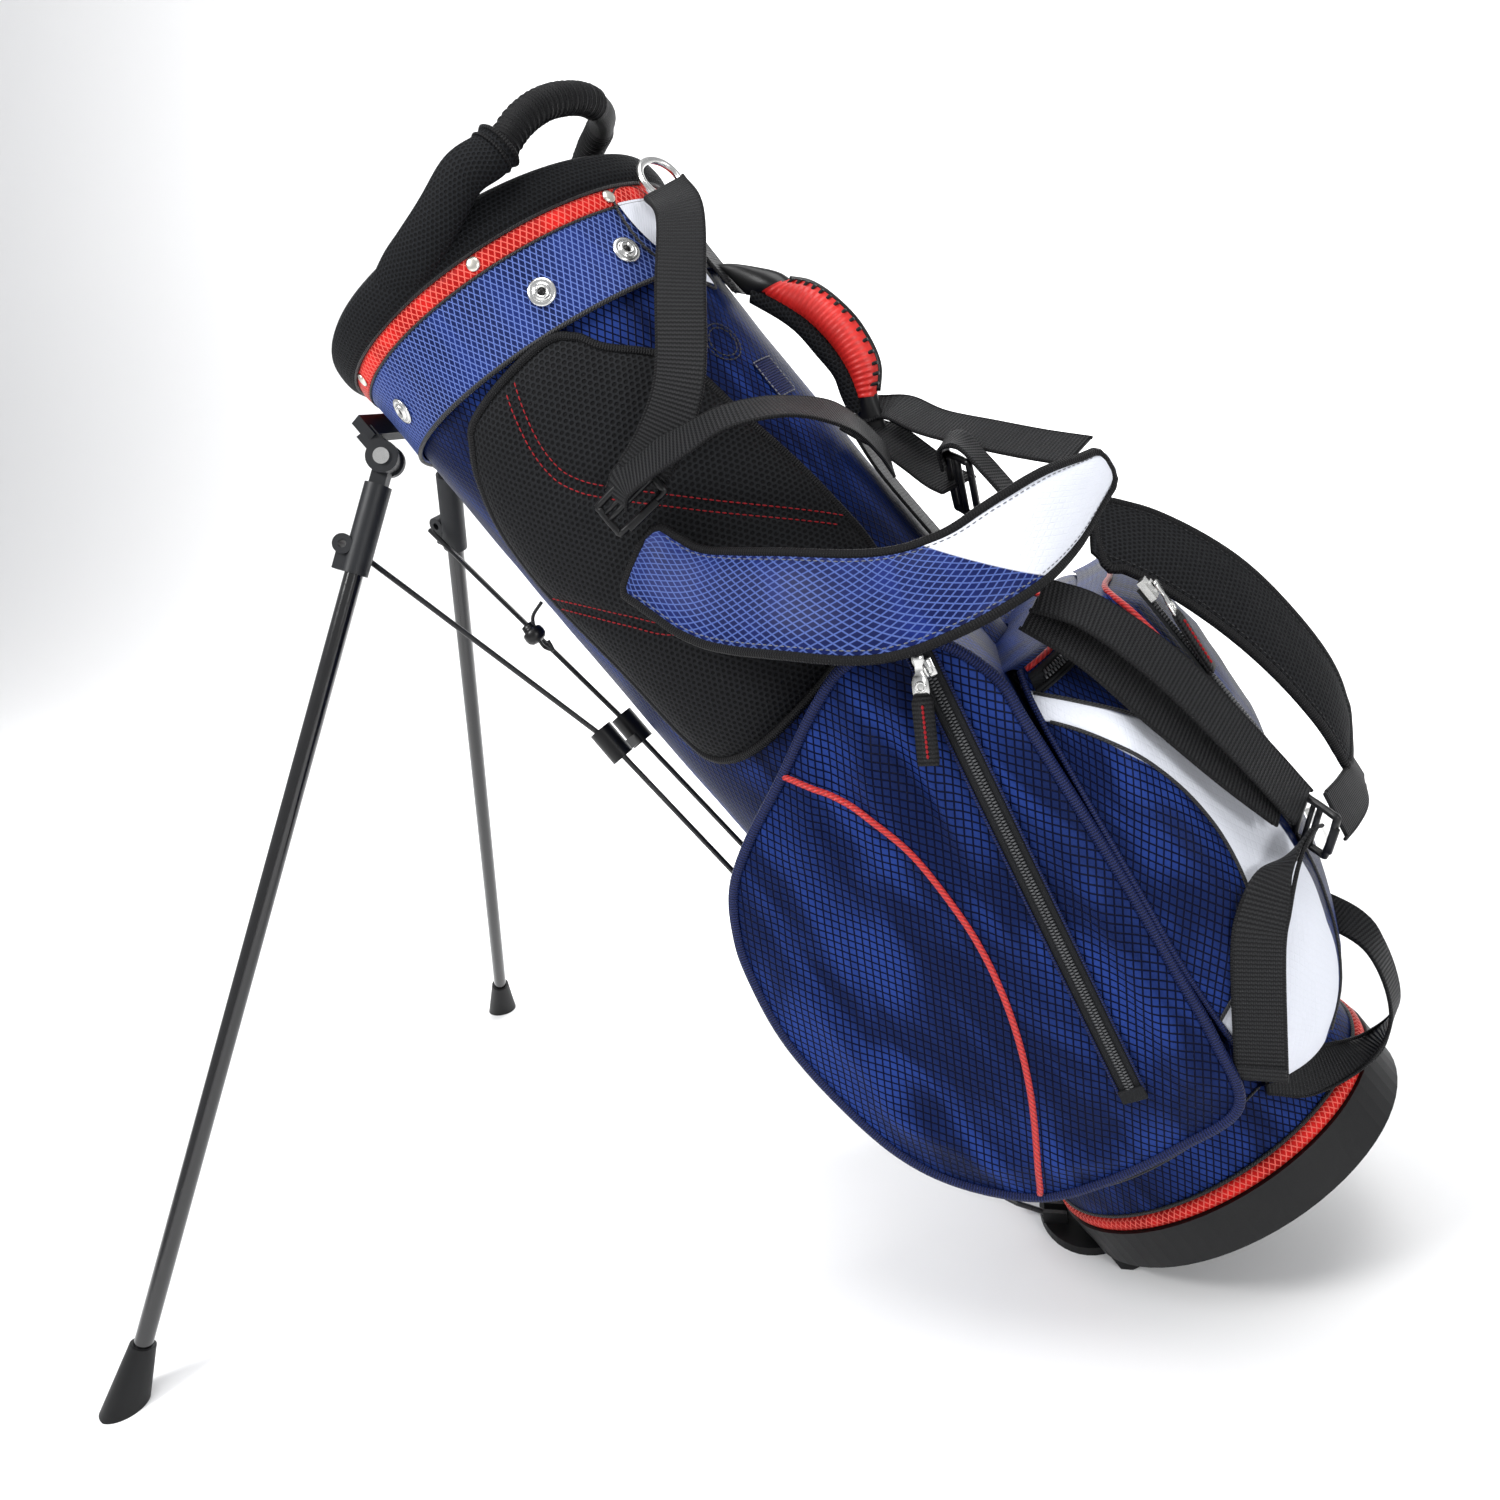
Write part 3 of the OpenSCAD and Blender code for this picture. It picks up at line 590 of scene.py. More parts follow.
def crescent(s):
    """The ball pocket's white panel: an outer ellipse less an inner disc, on the near side."""
    outer, inner = ellipse(s, *CRESCENT), ellipse(s, *DISC)
    below = s.step(s.plus(s.place(AXIS), s.scaled(s.place(DORSAL), -0.62, -108.0)), -0.6, 0.6, 1.0, 0.0)
    near = s.step(s.place(ACROSS), -97.0, -95.0, 1.0, 0.0)
    ring = s.times(outer, s.minus(1.0, s.times(inner, s.minus(1.0, below))))
    return s.times(ring, near)


CRESCENT = (62, 240, 125, 176)
DISC = (72, 272, 90, 125)

NAVY = ripstop("navy_ripstop", NAVY_CELL, NAVY_THREAD)
# The cuff's light blue lattice threads are a painted glint.
NAVY_SMALL = ripstop("navy_ripstop_cuff", (0.006, 0.016, 0.1), (0.11, 0.17, 0.46), 4.2, 7.0,
                     shine=0.12, sheen=1.4)
NAVY_WHITE = ripstop("navy_and_white_ripstop", NAVY_CELL, NAVY_THREAD, white=crescent)
# The red cloth's lighter lattice threads are a painted glint.
RED = ripstop("red_ripstop", (0.6, 0.014, 0.012), (0.85, 0.14, 0.11), 4.6, 6.4, 0.4, sheen=1.1)
WHITE_CLOTH = white_cloth("white_ripstop")
MESH = air_mesh("air_mesh")
MESH_COLLAR = air_mesh("air_mesh_collar", 3.2, (0.009, 0.01, 0.012))
# In each webbing the first colour is partly the strap's own colour and partly a painted highlight on the ribs.
# The darker second colour is painted shade in the grooves.
WEB = webbing("black_webbing", (0.02, 0.0205, 0.022), DARK_BLACK, 2.6, 0.45)
BINDING = webbing("black_binding", (0.009, 0.009, 0.01), DARK_BLACK, 1.7, 0.5)
NAVY_BINDING = webbing("navy_binding", (0.012, 0.024, 0.12), (0.0015, 0.003, 0.02), 1.8, 0.42)
RED_CORD = twisted("red_piping", (0.62, 0.02, 0.016), (0.3, 0.006, 0.006))
BLACK_CORD = twisted("black_piping", (0.008, 0.008, 0.01), (0.001, 0.001, 0.0015), 2.2, 0.5)
RED_THREAD = cloth("red_thread", (0.6, 0.02, 0.03), 0.8, 0.6)
GREY_THREAD = cloth("grey_thread", (0.3, 0.31, 0.34), 0.8, 0.6)
TAPE = cloth("zip_tape", (0.012, 0.013, 0.015), 1.3, 0.65)
COIL = moulded("zip_coil", (0.06, 0.062, 0.065), 0.35)
LINING = cloth("black_lining", (0.007, 0.007, 0.008), 1.2, 0.8)
RUBBER = moulded("boot_rubber", (0.004, 0.0042, 0.0046), 0.5, 0.9, 0.06, Specular_IOR_Level=0.3)
PLASTIC = moulded("black_plastic", (0.004, 0.004, 0.0045), 0.32, 0.8, 0.02, Specular_IOR_Level=0.35)
GREY = moulded("grey_plastic", (0.01, 0.011, 0.013), 0.45, 0.7, 0.06, Specular_IOR_Level=0.35)
TUBE = moulded("leg_tube", (0.004, 0.004, 0.0045), 0.14, 3.0, 0.01, Coat_Weight=0.6, Coat_Roughness=0.06)
WIRE = moulded("stand_wire", (0.006, 0.006, 0.007), 0.28, 2.0, 0.02)
RED_RUBBER = moulded("red_rubber", (0.62, 0.018, 0.013), 0.4, 0.8, 0.06)
SILVER = metal("silver_metal", (0.78, 0.78, 0.76), 0.24)
CREAM = metal("cream_rivet", (0.86, 0.83, 0.74), 0.3)
ROD = metal("stay_rod", (0.6, 0.61, 0.63), 0.3)


# The record's slot of each material that isn't navy cloth, piping or grey thread
SLOTS = {material: slot for slot, materials in (
    ("air_mesh", (MESH, MESH_COLLAR)), ("black_lining", (LINING,)), ("black_plastic", (PLASTIC,)),
    ("black_webbing", (WEB, BINDING)), ("red_ripstop", (RED, RED_CORD, RED_THREAD)),
    ("red_rubber", (RED_RUBBER,)), ("silver_metal", (SILVER, CREAM)), ("white_ripstop", (WHITE_CLOTH,)),
    ("zip_tape", (TAPE, COIL))) for material in materials}


# ---------------------------------------------------------------- shell, cuff and collar

def turned(u):
    """Angle round the bag for u from 0 to 1, with the seam at the front."""
    return 180 - 360 * u


def shell_point(u, v):
    t = turned(u)
    z = mix(22, mouth_z(t, 18), v)
    p = skin(t, z, 0)
    return skin(t, z, 0.9 * wave(p, 70) + 0.4 * wave(p, 28, 2) - 0.3)


surface("shell_skin", shell_point, 144, 100, NAVY, close_u=True, replaces=["body_shell"])
surface("shell_lining", lambda u, v: skin(-turned(u), mix(26, mouth_z(turned(u), 18), v), -3), 96, 12,
        LINING, close_u=True, replaces=["body_shell"])


def ring_point(section):
    """A hoop round the mouth; the section lists (above the mouth plane, off the shell)."""
    pts = spline([Vector((0, b, a)) for a, b in section], 4, closed=True)
    count = len(pts)

    def point(u, v):
        t = turned(u)
        p = pts[int(round(v * count)) % count]
        return skin(t, mouth_z(t, p.z), p.y)
    return point, count


def cuff_point(u, v):
    t = turned(u)
    section = ((-60, 0.6), (-61, 2.4), (-60, 3.4), (-45, 3.0), (-25, 2.8), (-7, 3.2), (-5, 0.6))
    s = v * (len(section) - 1)
    k = min(int(s), len(section) - 2)
    above, off = (mix(section[k][i], section[k + 1][i], s - k) for i in (0, 1))
    pucker = 0.5 * wave((t * 2, 0, above), 14) * smooth((-above - 25) / 35)
    return skin(t, mouth_z(t, above), off + (pucker if 0.3 < v < 0.8 else 0))


surface("cuff", cuff_point, 160, 42, NAVY_SMALL, close_u=True, replaces=["cuff_band"])


def around(above, off, count=160):
    """A closed line round the bag; above and off are its heights over the mouth plane and the shell."""
    angles = [turned(k / count) for k in range(count)]
    return [skin(t, mouth_z(t, above(t) if callable(above) else above), off) for t in angles]


tube("cuff_seam", around(-60, 3.2), 1.5, BLACK_CORD, 8, closed=True, replaces=["cuff_band"])
tube("cuff_top_seam", around(-7, 3.4), 0.9, BLACK_CORD, 6, closed=True, replaces=["cuff_band"])

trim_point, trim_count = ring_point([(-5.8, 0.6), (-5.8, 3.8), (-3, 4.6), (0, 4.9), (3, 4.6), (5.8, 3.8),
                                    (5.8, 0.6)])
surface("cuff_red_trim", trim_point, 200, trim_count, RED, close_u=True, close_v=True,
        replaces=["cuff_trim"])


def collar_height(t):
    return 26 + 4 * sin(radians(t)) ** 2


def collar_section(t):
    h = collar_height(t)
    return spline([Vector((0, o, 6 + a)) for o, a in (
        (1, 0), (6, 0.2), (9.2, 0.2 * h), (9.6, 0.5 * h), (8, 0.8 * h), (3, 0.98 * h), (-3, h), (-7, 0.9 * h),
        (-8.5, 0.75 * h), (-8.5, 16), (-4, 14), (0.8, 12))], 4, closed=True)


def collar_point(u, v):
    t = turned(u)
    section = collar_section(t)
    p = section[int(round(v * len(section))) % len(section)]
    sag = 0.5 * wave((t * 2, p.z, p.y), 40)
    return skin(t, mouth_z(t, p.z), p.y + sag)


collar = surface("collar", collar_point, 180, 48, MESH_COLLAR, close_u=True, close_v=True,
                 replaces=["collar_pad"])


def collar_seam(share, off, radius):
    line = around(lambda t: 6 + share * collar_height(t), off, 150)
    return tube_mesh(line, radius, 6, closed=True)


group("collar_seams", [collar_seam(0.99, 1.2, 1.1), collar_seam(0.02, 5.2, 1.3)], BLACK_CORD, slot="air_mesh",
      replaces=["collar_pad"])

# Outline of the white corner panel: (height, angle) on the shell
CORNER = [(792, 27), (786, 12), (716, 10), (722, 18), (753, 30)]


def corner_point(u, v):
    """White corner panel at the cuff's end on the near side of the spine."""
    top, low = mix(Vector((792, 27)), Vector((786, 11)), u), mix(Vector((722, 18)), Vector((714, 10)), u)
    mid = mix(Vector((753, 30)), Vector((750, 10.5)), u)
    p = mix(mix(top, mid, v), mix(mid, low, v), v)
    return skin(p.y, p.x, 4.2 if p.x > 745 else 2.0)


corner = grid_mesh(corner_point, 10, 14)
group("white_corner_panels", both([corner]), WHITE_CLOTH, replaces=["cuff_band"])
corner_edge = spline([skin(t, z, 4.4 if z > 745 else 2.2) for z, t in CORNER], 5, closed=True)
group("corner_panel_seams", both([tube_mesh(corner_edge, 0.9, 6, closed=True)]), BLACK_CORD,
      replaces=["cuff_band"])

# Club dividers: padded bars on a moulded rim, with cloth panels hanging from them
DIVIDER_X = (-42, 38)
BAR_SECTION = [(4.5, -9, 0), (4.7, 8, 0), (3.4, 14.5, 0), (0, 16.4, 0), (-3.4, 14.5, 0), (-4.7, 8, 0),
               (-4.5, -9, 0), (0, -10, 0)]


def bar_mesh(a, b):
    """A padded divider bar between two points of the mouth's frame."""
    a, b = Vector(a), Vector(b)
    along = (b - a).normalized()
    side = along.cross(Z_UP)
    section = spline(BAR_SECTION, 3, True)

    def point(u, v):
        p = section[int(round(u * len(section))) % len(section)]
        at = a.lerp(b, v)
        return mouth(*(at + side * p.x * (1 + 0.06 * wave(at, 18)) + Vector((0, 0, p.y))))
    return grid_mesh(point, len(section), 40, close_u=True)


def oval_y(x, a=112.0, b=102.0):
    return b * sqrt(max(0.0, 1 - (x / a) ** 2))


bars = [bar_mesh((x, -oval_y(x), 0), (x, oval_y(x), 0)) for x in DIVIDER_X]
bars += [bar_mesh((a, 0, 0), (b, 0, 0)) for a, b in ((-111, -46), (-38, 34), (42, 111))]
dividers = group("padded_dividers", bars, MESH_COLLAR, replaces=["divider_bars"])


def panel_mesh(place_at, half):
    """A cloth panel hanging from a divider bar; place_at takes the place along the bar and its sway."""
    def point(u, v):
        along = (2 * u - 1) * half
        x, y = place_at(along, 3 * v * wave((u * 200, v * 150, half), 60))
        return mouth(x, y, mix(-10.5, -135, v))
    return grid_mesh(point, 36, 16)


for name, place_at, half in (
        ("divider_cloth_low", lambda a, sway: (DIVIDER_X[0] + sway, a), oval_y(DIVIDER_X[0], 108, 100)),
        ("divider_cloth_top", lambda a, sway: (DIVIDER_X[1] + sway, a), oval_y(DIVIDER_X[1], 108, 100)),
        ("divider_cloth_middle", lambda a, sway: (a, sway), 108)):
    sheet = group(name, [panel_mesh(place_at, half)], LINING, replaces=["divider_panels"])


# ---------------------------------------------------------------- hip pads

HIP_ROWS = [(462, 90, 110), (474, 62, 122), (500, 38, 126), (560, 36, 128), (630, 41, 132),
            (680, 46, 130), (715, 61, 121), (732, 66, 113), (742, 75, 104)]
HIP_R = 117.0
STITCH_UPPER = [(757, 83), (744, 86.5), (722, 91), (698, 94), (678, 94), (664, 91.5), (651, 87.5),
                (621, 76), (592, 64.5), (565, 52.5), (534, 38)]
STITCH_LOWER = [(650, 143), (628, 130), (605, 118.5), (579, 107.5), (555, 98), (530, 80), (508, 62),
                (497, 44)]


def unrolled(rows):
    """(height, angle) pairs as points of the unrolled skin."""
    return [Vector((radians(t) * HIP_R, z, 0)) for z, t in rows]


def near_line(p, line):
    best = 1e9
    for a, b in zip(line, line[1:]):
        d = b - a
        f = max(0.0, min(1.0, (p - a).dot(d) / d.dot(d)))
        best = min(best, (a + d * f - p).length)
    return best


hip_edge = [(z, f) for z, b, f in HIP_ROWS] + [(z, b) for z, b, f in reversed(HIP_ROWS)]
HIP_OUTLINE = spline(unrolled(hip_edge), 8, closed=True)
HIP_CENTRE = Vector((radians(86) * HIP_R, 600, 0))
UPPER_LINE, LOWER_LINE = spline(unrolled(STITCH_UPPER), 5), spline(unrolled(STITCH_LOWER), 5)


def hip_off(p, v):
    """Height of the pad off the shell at an unrolled point; v is 1 at its edge."""
    crown = 2.4 + 10.2 * (1 - v ** 7) ** 0.6
    groove = min(near_line(p, UPPER_LINE), near_line(p, LOWER_LINE))
    return crown - 3.6 * exp(-(groove / 6.5) ** 2) * (1 - v ** 6) + 0.6 * wave(p, 45) * (1 - v ** 6)


def on_skin(p, off):
    return skin(degrees(p.x / HIP_R), p.y, off)


def outline_at(outline, u):
    """A closed outline's point at a share u of its points."""
    count = len(outline)
    k = int(u * count) % count
    return outline[k].lerp(outline[(k + 1) % count], u * count - int(u * count))


def hip_flat(u, v):
    return HIP_CENTRE.lerp(outline_at(HIP_OUTLINE, u), v)


def hip_point(u, v):
    p = hip_flat(u, v)
    return on_skin(p, hip_off(p, v))


def hip_weave(i, j):
    p = hip_flat((i % 144) / 144, j / 36)
    return p.x / 1000, p.y / 1000


hip = grid_mesh(hip_point, 144, 36, close_u=True, weave=hip_weave)
rim = tube_mesh([on_skin(p, 3.4) for p in HIP_OUTLINE], 3.4, 8, closed=True)


def inside(p, outline):
    """Whether a flat point lies inside a closed outline of the unrolled skin."""
    found = False
    for a, b in zip(outline, outline[1:] + outline[:1]):
        if (a.y > p.y) != (b.y > p.y) and p.x < a.x + (b.x - a.x) * (p.y - a.y) / (b.y - a.y):
            found = not found
    return found


lines = []
for line in (UPPER_LINE, LOWER_LINE):
    for shift in (-3.4, 3.4):
        kept = []
        for a, b in zip(line, line[1:]):
            d = (b - a).normalized()
            p = (a + b) / 2 + Vector((-d.y, d.x, 0)) * shift
            if inside(p, HIP_OUTLINE) and min((p - q).length for q in HIP_OUTLINE) > 5:
                kept.append(on_skin(p, hip_off(p, 0.5) + 0.1))
        lines.extend(stitch_mesh(kept, 3.0, 1.2, 0.5))
for side, turn in SIDES:
    node = side + "_hip_pad"
    pad = group(side + "_hip_mesh", [turn(hip)], MESH, replaces=[node])
    group(side + "_hip_binding", [turn(rim)], BINDING, slot="air_mesh", replaces=[node])
    group(side + "_hip_stitches", [turn(m) for m in lines], RED_THREAD, replaces=[node])


# ---------------------------------------------------------------- side pockets

SIDE_OUTLINE = spline([Vector((x, 0, z)) for x, z in (
    (64, 468), (30, 461), (-19, 439), (-62, 421), (-92, 403), (-111, 380), (-124, 353), (-136, 304),
    (-136, 250), (-127, 196), (-106, 157), (-70, 125), (-29, 114), (28, 112), (72, 118), (86, 160),
    (95, 210), (104, 262), (113, 326), (120, 380), (123, 412), (108, 452))], 8, closed=True)
SIDE_CENTRE = Vector((0, 0, 290))
ZIP_TOP, ZIP_RUN, ZIP_TURN = Vector((101, 0, 448)), 296.0, atan2(72, 287)
ZIP_DOWN, ZIP_SIDE = Vector((-sin(ZIP_TURN), 0, -cos(ZIP_TURN))), Vector((cos(ZIP_TURN), 0, -sin(ZIP_TURN)))
PIPING = [Vector((x, 0, z)) for x, z in (
    (-16, 441), (-4, 425), (10, 401), (18, 370), (20, 340), (16, 292), (2, 242), (-22, 192), (-58, 138),
    (-66, 127))]


def zip_distance(x, z):
    p = Vector((x, 0, z)) - ZIP_TOP
    s = max(0.0, min(ZIP_RUN, p.dot(ZIP_DOWN)))
    return (p - ZIP_DOWN * s).length


def fold(x, z, cx, cz, angle, length, width):
    """One soft crease: 1 on its crest, fading along and across it."""
    t = radians(angle)
    dx, dz = x - cx, z - cz
    along, across = dx * sin(t) + dz * cos(t), dx * cos(t) - dz * sin(t)
    bend = across + 0.0012 * along * along
    return exp(-(along / length) ** 2 - (bend / width) ** 2)


SIDE_FOLDS = [(62, 395, 18, 60, 9, 3.4), (46, 375, 10, 70, 8, -2.6), (78, 330, 12, 70, 8, 2.8),
              (30, 410, 30, 50, 9, 2.6), (8, 425, 40, 45, 8, -2.2), (58, 250, 14, 80, 9, -2.4),
              (84, 260, 8, 70, 9, 2.6), (36, 220, 20, 55, 10, 2.2), (-30, 400, 55, 50, 10, 2.4),
              (-60, 380, 60, 50, 9, -2.0), (95, 390, 10, 50, 7, 2.4), (70, 180, 10, 45, 9, 2.2),
              (-100, 260, 4, 70, 12, 1.8), (-90, 190, -25, 50, 11, 2.0), (-20, 130, -60, 60, 10, 1.8),
              (10, 150, 30, 40, 9, -1.8)]


def side_crown(x, z, v):
    """How far the pocket's face stands out at a place; v is 1 at its bound edge."""
    puff = 4.0 * (1 - v ** 2.5) - 6.5 * v ** 9
    crease = sum(2.3 * h * fold(x, z, cx, cz, a, l, w) for cx, cz, a, l, w, h in SIDE_FOLDS)
    crease += 1.5 * wave((x, 0, z), 38) + 0.5 * wave((x, 0, z), 16, 5)
    flat = smooth((zip_distance(x, z) - 9) / 22)
    near_piping = smooth((near_line(Vector((x, 0, z)), PIPING) - 2) / 10)
    return mix(0.0, puff, 0.35 + 0.65 * flat) * (0.15 + 0.85 * flat) \
        + crease * flat * (0.4 + 0.6 * near_piping) * (1 - v ** 10)


def side_flat(u, v):
    return SIDE_CENTRE.lerp(outline_at(SIDE_OUTLINE, u), v)


def side_y(x, z, v):
    return -171.6 - side_crown(x, z, v)


def side_point(u, v):
    p = side_flat(u, v)
    return Vector((p.x, side_y(p.x, p.z, v), p.z))


def gusset_point(u, v):
    """From the bound edge of the face in to the shell."""
    rim = outline_at(SIDE_OUTLINE, u)
    start = Vector((rim.x, -165.0, rim.z))
    share = max(-0.86, min(0.95, (rim.x - bag_x(rim.z)) / bag_a(rim.z)))
    inner = Vector((bag_x(rim.z) + share * bag_a(rim.z),
                    -(bag_b(rim.z) - 1) * sqrt(1 - share * share), rim.z))
    mid = Vector((mix(start.x, inner.x, 0.25), mix(start.y, inner.y, 0.5),
                  mix(rim.z, SIDE_CENTRE.z, 0.015)))
    a, b = start.lerp(mid, v), mid.lerp(inner, v)
    p = a.lerp(b, v)
    p.x += 0.8 * wave((rim.x, v * 60, rim.z), 22)
    return p


def face_weave(i, j):
    p = side_flat((i % 176) / 176, j / 56)
    return p.x / 1000, p.z / 1000


face = grid_mesh(side_point, 176, 56, close_u=True, weave=face_weave)
gusset = grid_mesh(gusset_point, 176, 14, close_u=True)
rim = tube_mesh([Vector((p.x, side_y(p.x, p.z, 1) - 0.2, p.z)) for p in SIDE_OUTLINE], 3.6, 8, closed=True,
                up=(0, 1, 0))


def on_face(p):
    """A flat pocket point lifted to the face."""
    d = p - SIDE_CENTRE
    rim = min(SIDE_OUTLINE, key=lambda q: (q - SIDE_CENTRE).angle(d))
    v = min(1.0, d.length / (rim - SIDE_CENTRE).length)
    return Vector((p.x, side_y(p.x, p.z, v), p.z))


piping = [on_face(p) for p in spline(PIPING, 8)]
piping_bead = tube_mesh([p + Vector((0, -1.0, 0)) for p in piping], 2.1, 8, up=(0, 1, 0))


def zip_at(down, across=0.0, out=0.0):
    """A point of the side zip: millimetres below its top, across it and out of the pocket."""
    return ZIP_TOP + ZIP_DOWN * down + ZIP_SIDE * across + Vector((0, -172.6 - out, 0))


def coil_mesh(at, run, pitch=2.3, wide=3.1):
    """Zip teeth; at(down, across, out) gives their place."""
    parts = []
    count = int(run / pitch)
    for k in range(count):
        s = 3 + k * pitch
        for sign in (-1, 1):
            ends = [at(s + (0.5 * pitch if sign > 0 else 0), sign * a, o)
                    for a, o in ((0.1, 1.6), (wide * 0.45, 2.2), (wide, 1.5))]
            parts.append(tube_mesh(ends, 0.72, 5))
    return parts


def tape_mesh(at, run, half, count=40):
    """Zip tape with a flat, slightly rolled cloth edge on both sides."""
    section = [(-half, 0.2), (-half + 1, 1.2), (-half + 3, 1.4), (-3.4, 1.2), (0, 0.9),
               (3.4, 1.2), (half - 3, 1.4), (half - 1, 1.2), (half, 0.2)]
    return grid_mesh(lambda u, v: at(v * run - 4, *section[int(round(u * 8))]), 8, count)


side_tape = tape_mesh(zip_at, ZIP_RUN + 8, 7.6)
side_coil = coil_mesh(zip_at, ZIP_RUN, 2.1, 2.5)
side_hems = [tube_mesh([zip_at(s, a, 1.6) for s in range(-4, int(ZIP_RUN) + 4, 6)], 1.0, 6)
             for a in (-7.8, 7.8)]
end_tab = block_mesh(zip_at(ZIP_RUN + 1, 0, 1.8), (16, 3.2, 9), (ZIP_SIDE, ACROSS, -ZIP_DOWN), 1.2)
for side, turn in SIDES:
    node, tape = side + "_side_pocket", side + "_zip_tape"
    group(side + "_pocket_face", [turn(face)], NAVY, replaces=[node])
    group(side + "_pocket_gusset", [turn(gusset)], NAVY, replaces=[node])
    group(side + "_pocket_binding", [turn(rim)], NAVY_BINDING, replaces=[node])
    group(side + "_pocket_piping", [turn(piping_bead)], RED_CORD, replaces=[node])
    group(side + "_zip_cloth", [turn(side_tape), turn(end_tab)], TAPE, replaces=[tape])
    group(side + "_zip_coil", [turn(m) for m in side_coil], COIL, replaces=[tape])
    group(side + "_zip_hems", [turn(m) for m in side_hems], NAVY_BINDING, replaces=[tape])


# ---------------------------------------------------------------- ball pocket

BALL_ROWS = [(88, 90, 108, 142), (130, 90, 150, 170), (200, 98, 163, 192), (260, 108, 164, 198),
             (330, 119, 160, 194), (380, 126, 150, 182), (402, 130, 132, 168)]


def ball_row(z):
    pts = spline([Vector((b, h, d)) for _, b, h, d in BALL_ROWS], 6)
    zs = spline([Vector((0, 0, r[0])) for r in BALL_ROWS], 6)
    for k in range(len(zs) - 1):
        if zs[k + 1].z >= z:
            return pts[k].lerp(pts[k + 1], (z - zs[k].z) / (zs[k + 1].z - zs[k].z))
    return pts[-1]


BALL_LOW, BALL_TOP = 88, 402
BALL_TABLE = {z: ball_row(z) for z in range(BALL_LOW, BALL_TOP + 1)}


def ball_size(z):
    """The seam's x, the half width and the depth of the ball pocket at a height."""
    low = max(BALL_LOW, min(BALL_TOP - 1, int(z)))
    return BALL_TABLE[low].lerp(BALL_TABLE[low + 1], min(1.0, max(0.0, z - low)))


def ball_at(f, z):
    """The ball pocket's outer face; f runs from -90 on the near seam to 90 on the far one."""
    back, half, deep = ball_size(z)
    c = max(0.0, cos(radians(f)))
    return Vector((back + (deep - back) * c ** 0.7, half * sin(radians(f)), z))


BALL_FOLDS = [(150, 330, 25, 60, 12, 2.6), (170, 250, 10, 70, 12, -2.4), (110, 180, 35, 50, 10, 2.0),
              (130, 130, 50, 45, 10, -2.2), (160, 160, 20, 50, 12, 2.4), (120, 380, 40, 40, 9, 2.0)]


def ball_creased(f, z, lift=0.0):
    """The outer face with its creases."""
    p = ball_at(f, z)
    crease = sum(2.0 * h * fold(p.x, p.z, cx, cz, a, l, w) for cx, cz, a, l, w, h in BALL_FOLDS)
    crease += 1.4 * wave(p, 42, 3) + 0.5 * wave(p, 17, 7)
    fade = smooth(min(f + 90, 90 - f) / 12) * smooth(min(z - BALL_LOW, BALL_TOP - z) / 14)
    out = Vector((cos(radians(f)), sin(radians(f)), 0))
    return p + out * (crease * fade + lift)


def ball_point(u, v):
    f = 90 - 180 * u
    if v < 0.06:
        t, z = 1 - v / 0.06, BALL_LOW
    elif v > 0.94:
        t, z = (v - 0.94) / 0.06, BALL_TOP
    else:
        t, z = 0.0, mix(BALL_LOW, BALL_TOP, (v - 0.06) / 0.88)
    p = ball_creased(f, z)
    if t:
        off_centre = min(104.0, abs(p.y) * 0.86) / (bag_b(z) + 1)
        inner_x = bag_x(z) + (bag_a(z) + 1) * sqrt(max(0.0, 1 - off_centre ** 2))
        rise = (8 if z > 200 else -7) * sin(t * pi / 2)
        p = Vector((mix(p.x, inner_x, t ** 1.4), mix(p.y, p.y * 0.86, t), z + rise))
    return p


surface("ball_pocket_cloth", ball_point, 150, 110, NAVY_WHITE, replaces=["ball_pocket"])


def on_ball(x, z):
    """The near half's point with this x and height, found from the face's own shape."""
    back, _, deep = ball_size(z)
    c = max(0.0, min(1.0, (x - back) / (deep - back))) ** (1 / 0.7)
    return ball_creased(-degrees(acos(c)), z, 0.6)


def arc(spec, start, stop, count=50):
    """Points along an ellipse of the bag's x and z, laid on the near side of the ball pocket."""
    cx, cz, rx, rz = spec
    pts = []
    for k in range(count + 1):
        w = radians(mix(start, stop, k / count))
        x, z = cx + rx * cos(w), cz + rz * sin(w)
        if z > 90 and x > ball_row(max(BALL_LOW, min(BALL_TOP, z))).x + 1:
            p = on_ball(x, z)
            if p.y < -60:
                pts.append(p)
    return pts


cords = [tube_mesh(arc(CRESCENT, -80, 100), 1.2, 6), tube_mesh(arc(DISC, -44, 100), 1.2, 6)]
cords.append(tube_mesh([on_ball(x, 108 + 0.62 * x) for x in range(88, 150, 3)], 1.1, 6))
group("ball_pocket_seams", both(cords), BLACK_CORD, replaces=["ball_pocket"])
seam = [ball_at(-90, z) + Vector((0, -0.6, 0)) for z in range(BALL_LOW, BALL_TOP + 1, 4)]
bead = tube_mesh(seam, 2.0, 8)
group("ball_pocket_binding", both([bead]), NAVY_BINDING, replaces=["ball_pocket"])


def top_zip(down, across=0.0, out=0.0):
    """Along the small zip under the pocket's top edge, from its near seam towards the back."""
    return ball_creased(-84 + down, 391 + across, out)


top_hem = tube_mesh([top_zip(k, -6, 1.2) for k in range(-2, 46, 3)], 0.9, 6)
group("top_zip_cloth", [tape_mesh(top_zip, 48, 5.5, 24), top_hem], TAPE, replaces=["ball_pocket"])
group("top_zip_coil", coil_mesh(top_zip, 40, 2.1, 2.3), COIL, replaces=["ball_pocket"])
tube("top_zip_piping", [top_zip(k, 8, 1.0) for k in range(-4, 60, 4)], 1.8, RED_CORD, 8,
     replaces=["ball_pocket"])


# ---------------------------------------------------------------- accessory pocket

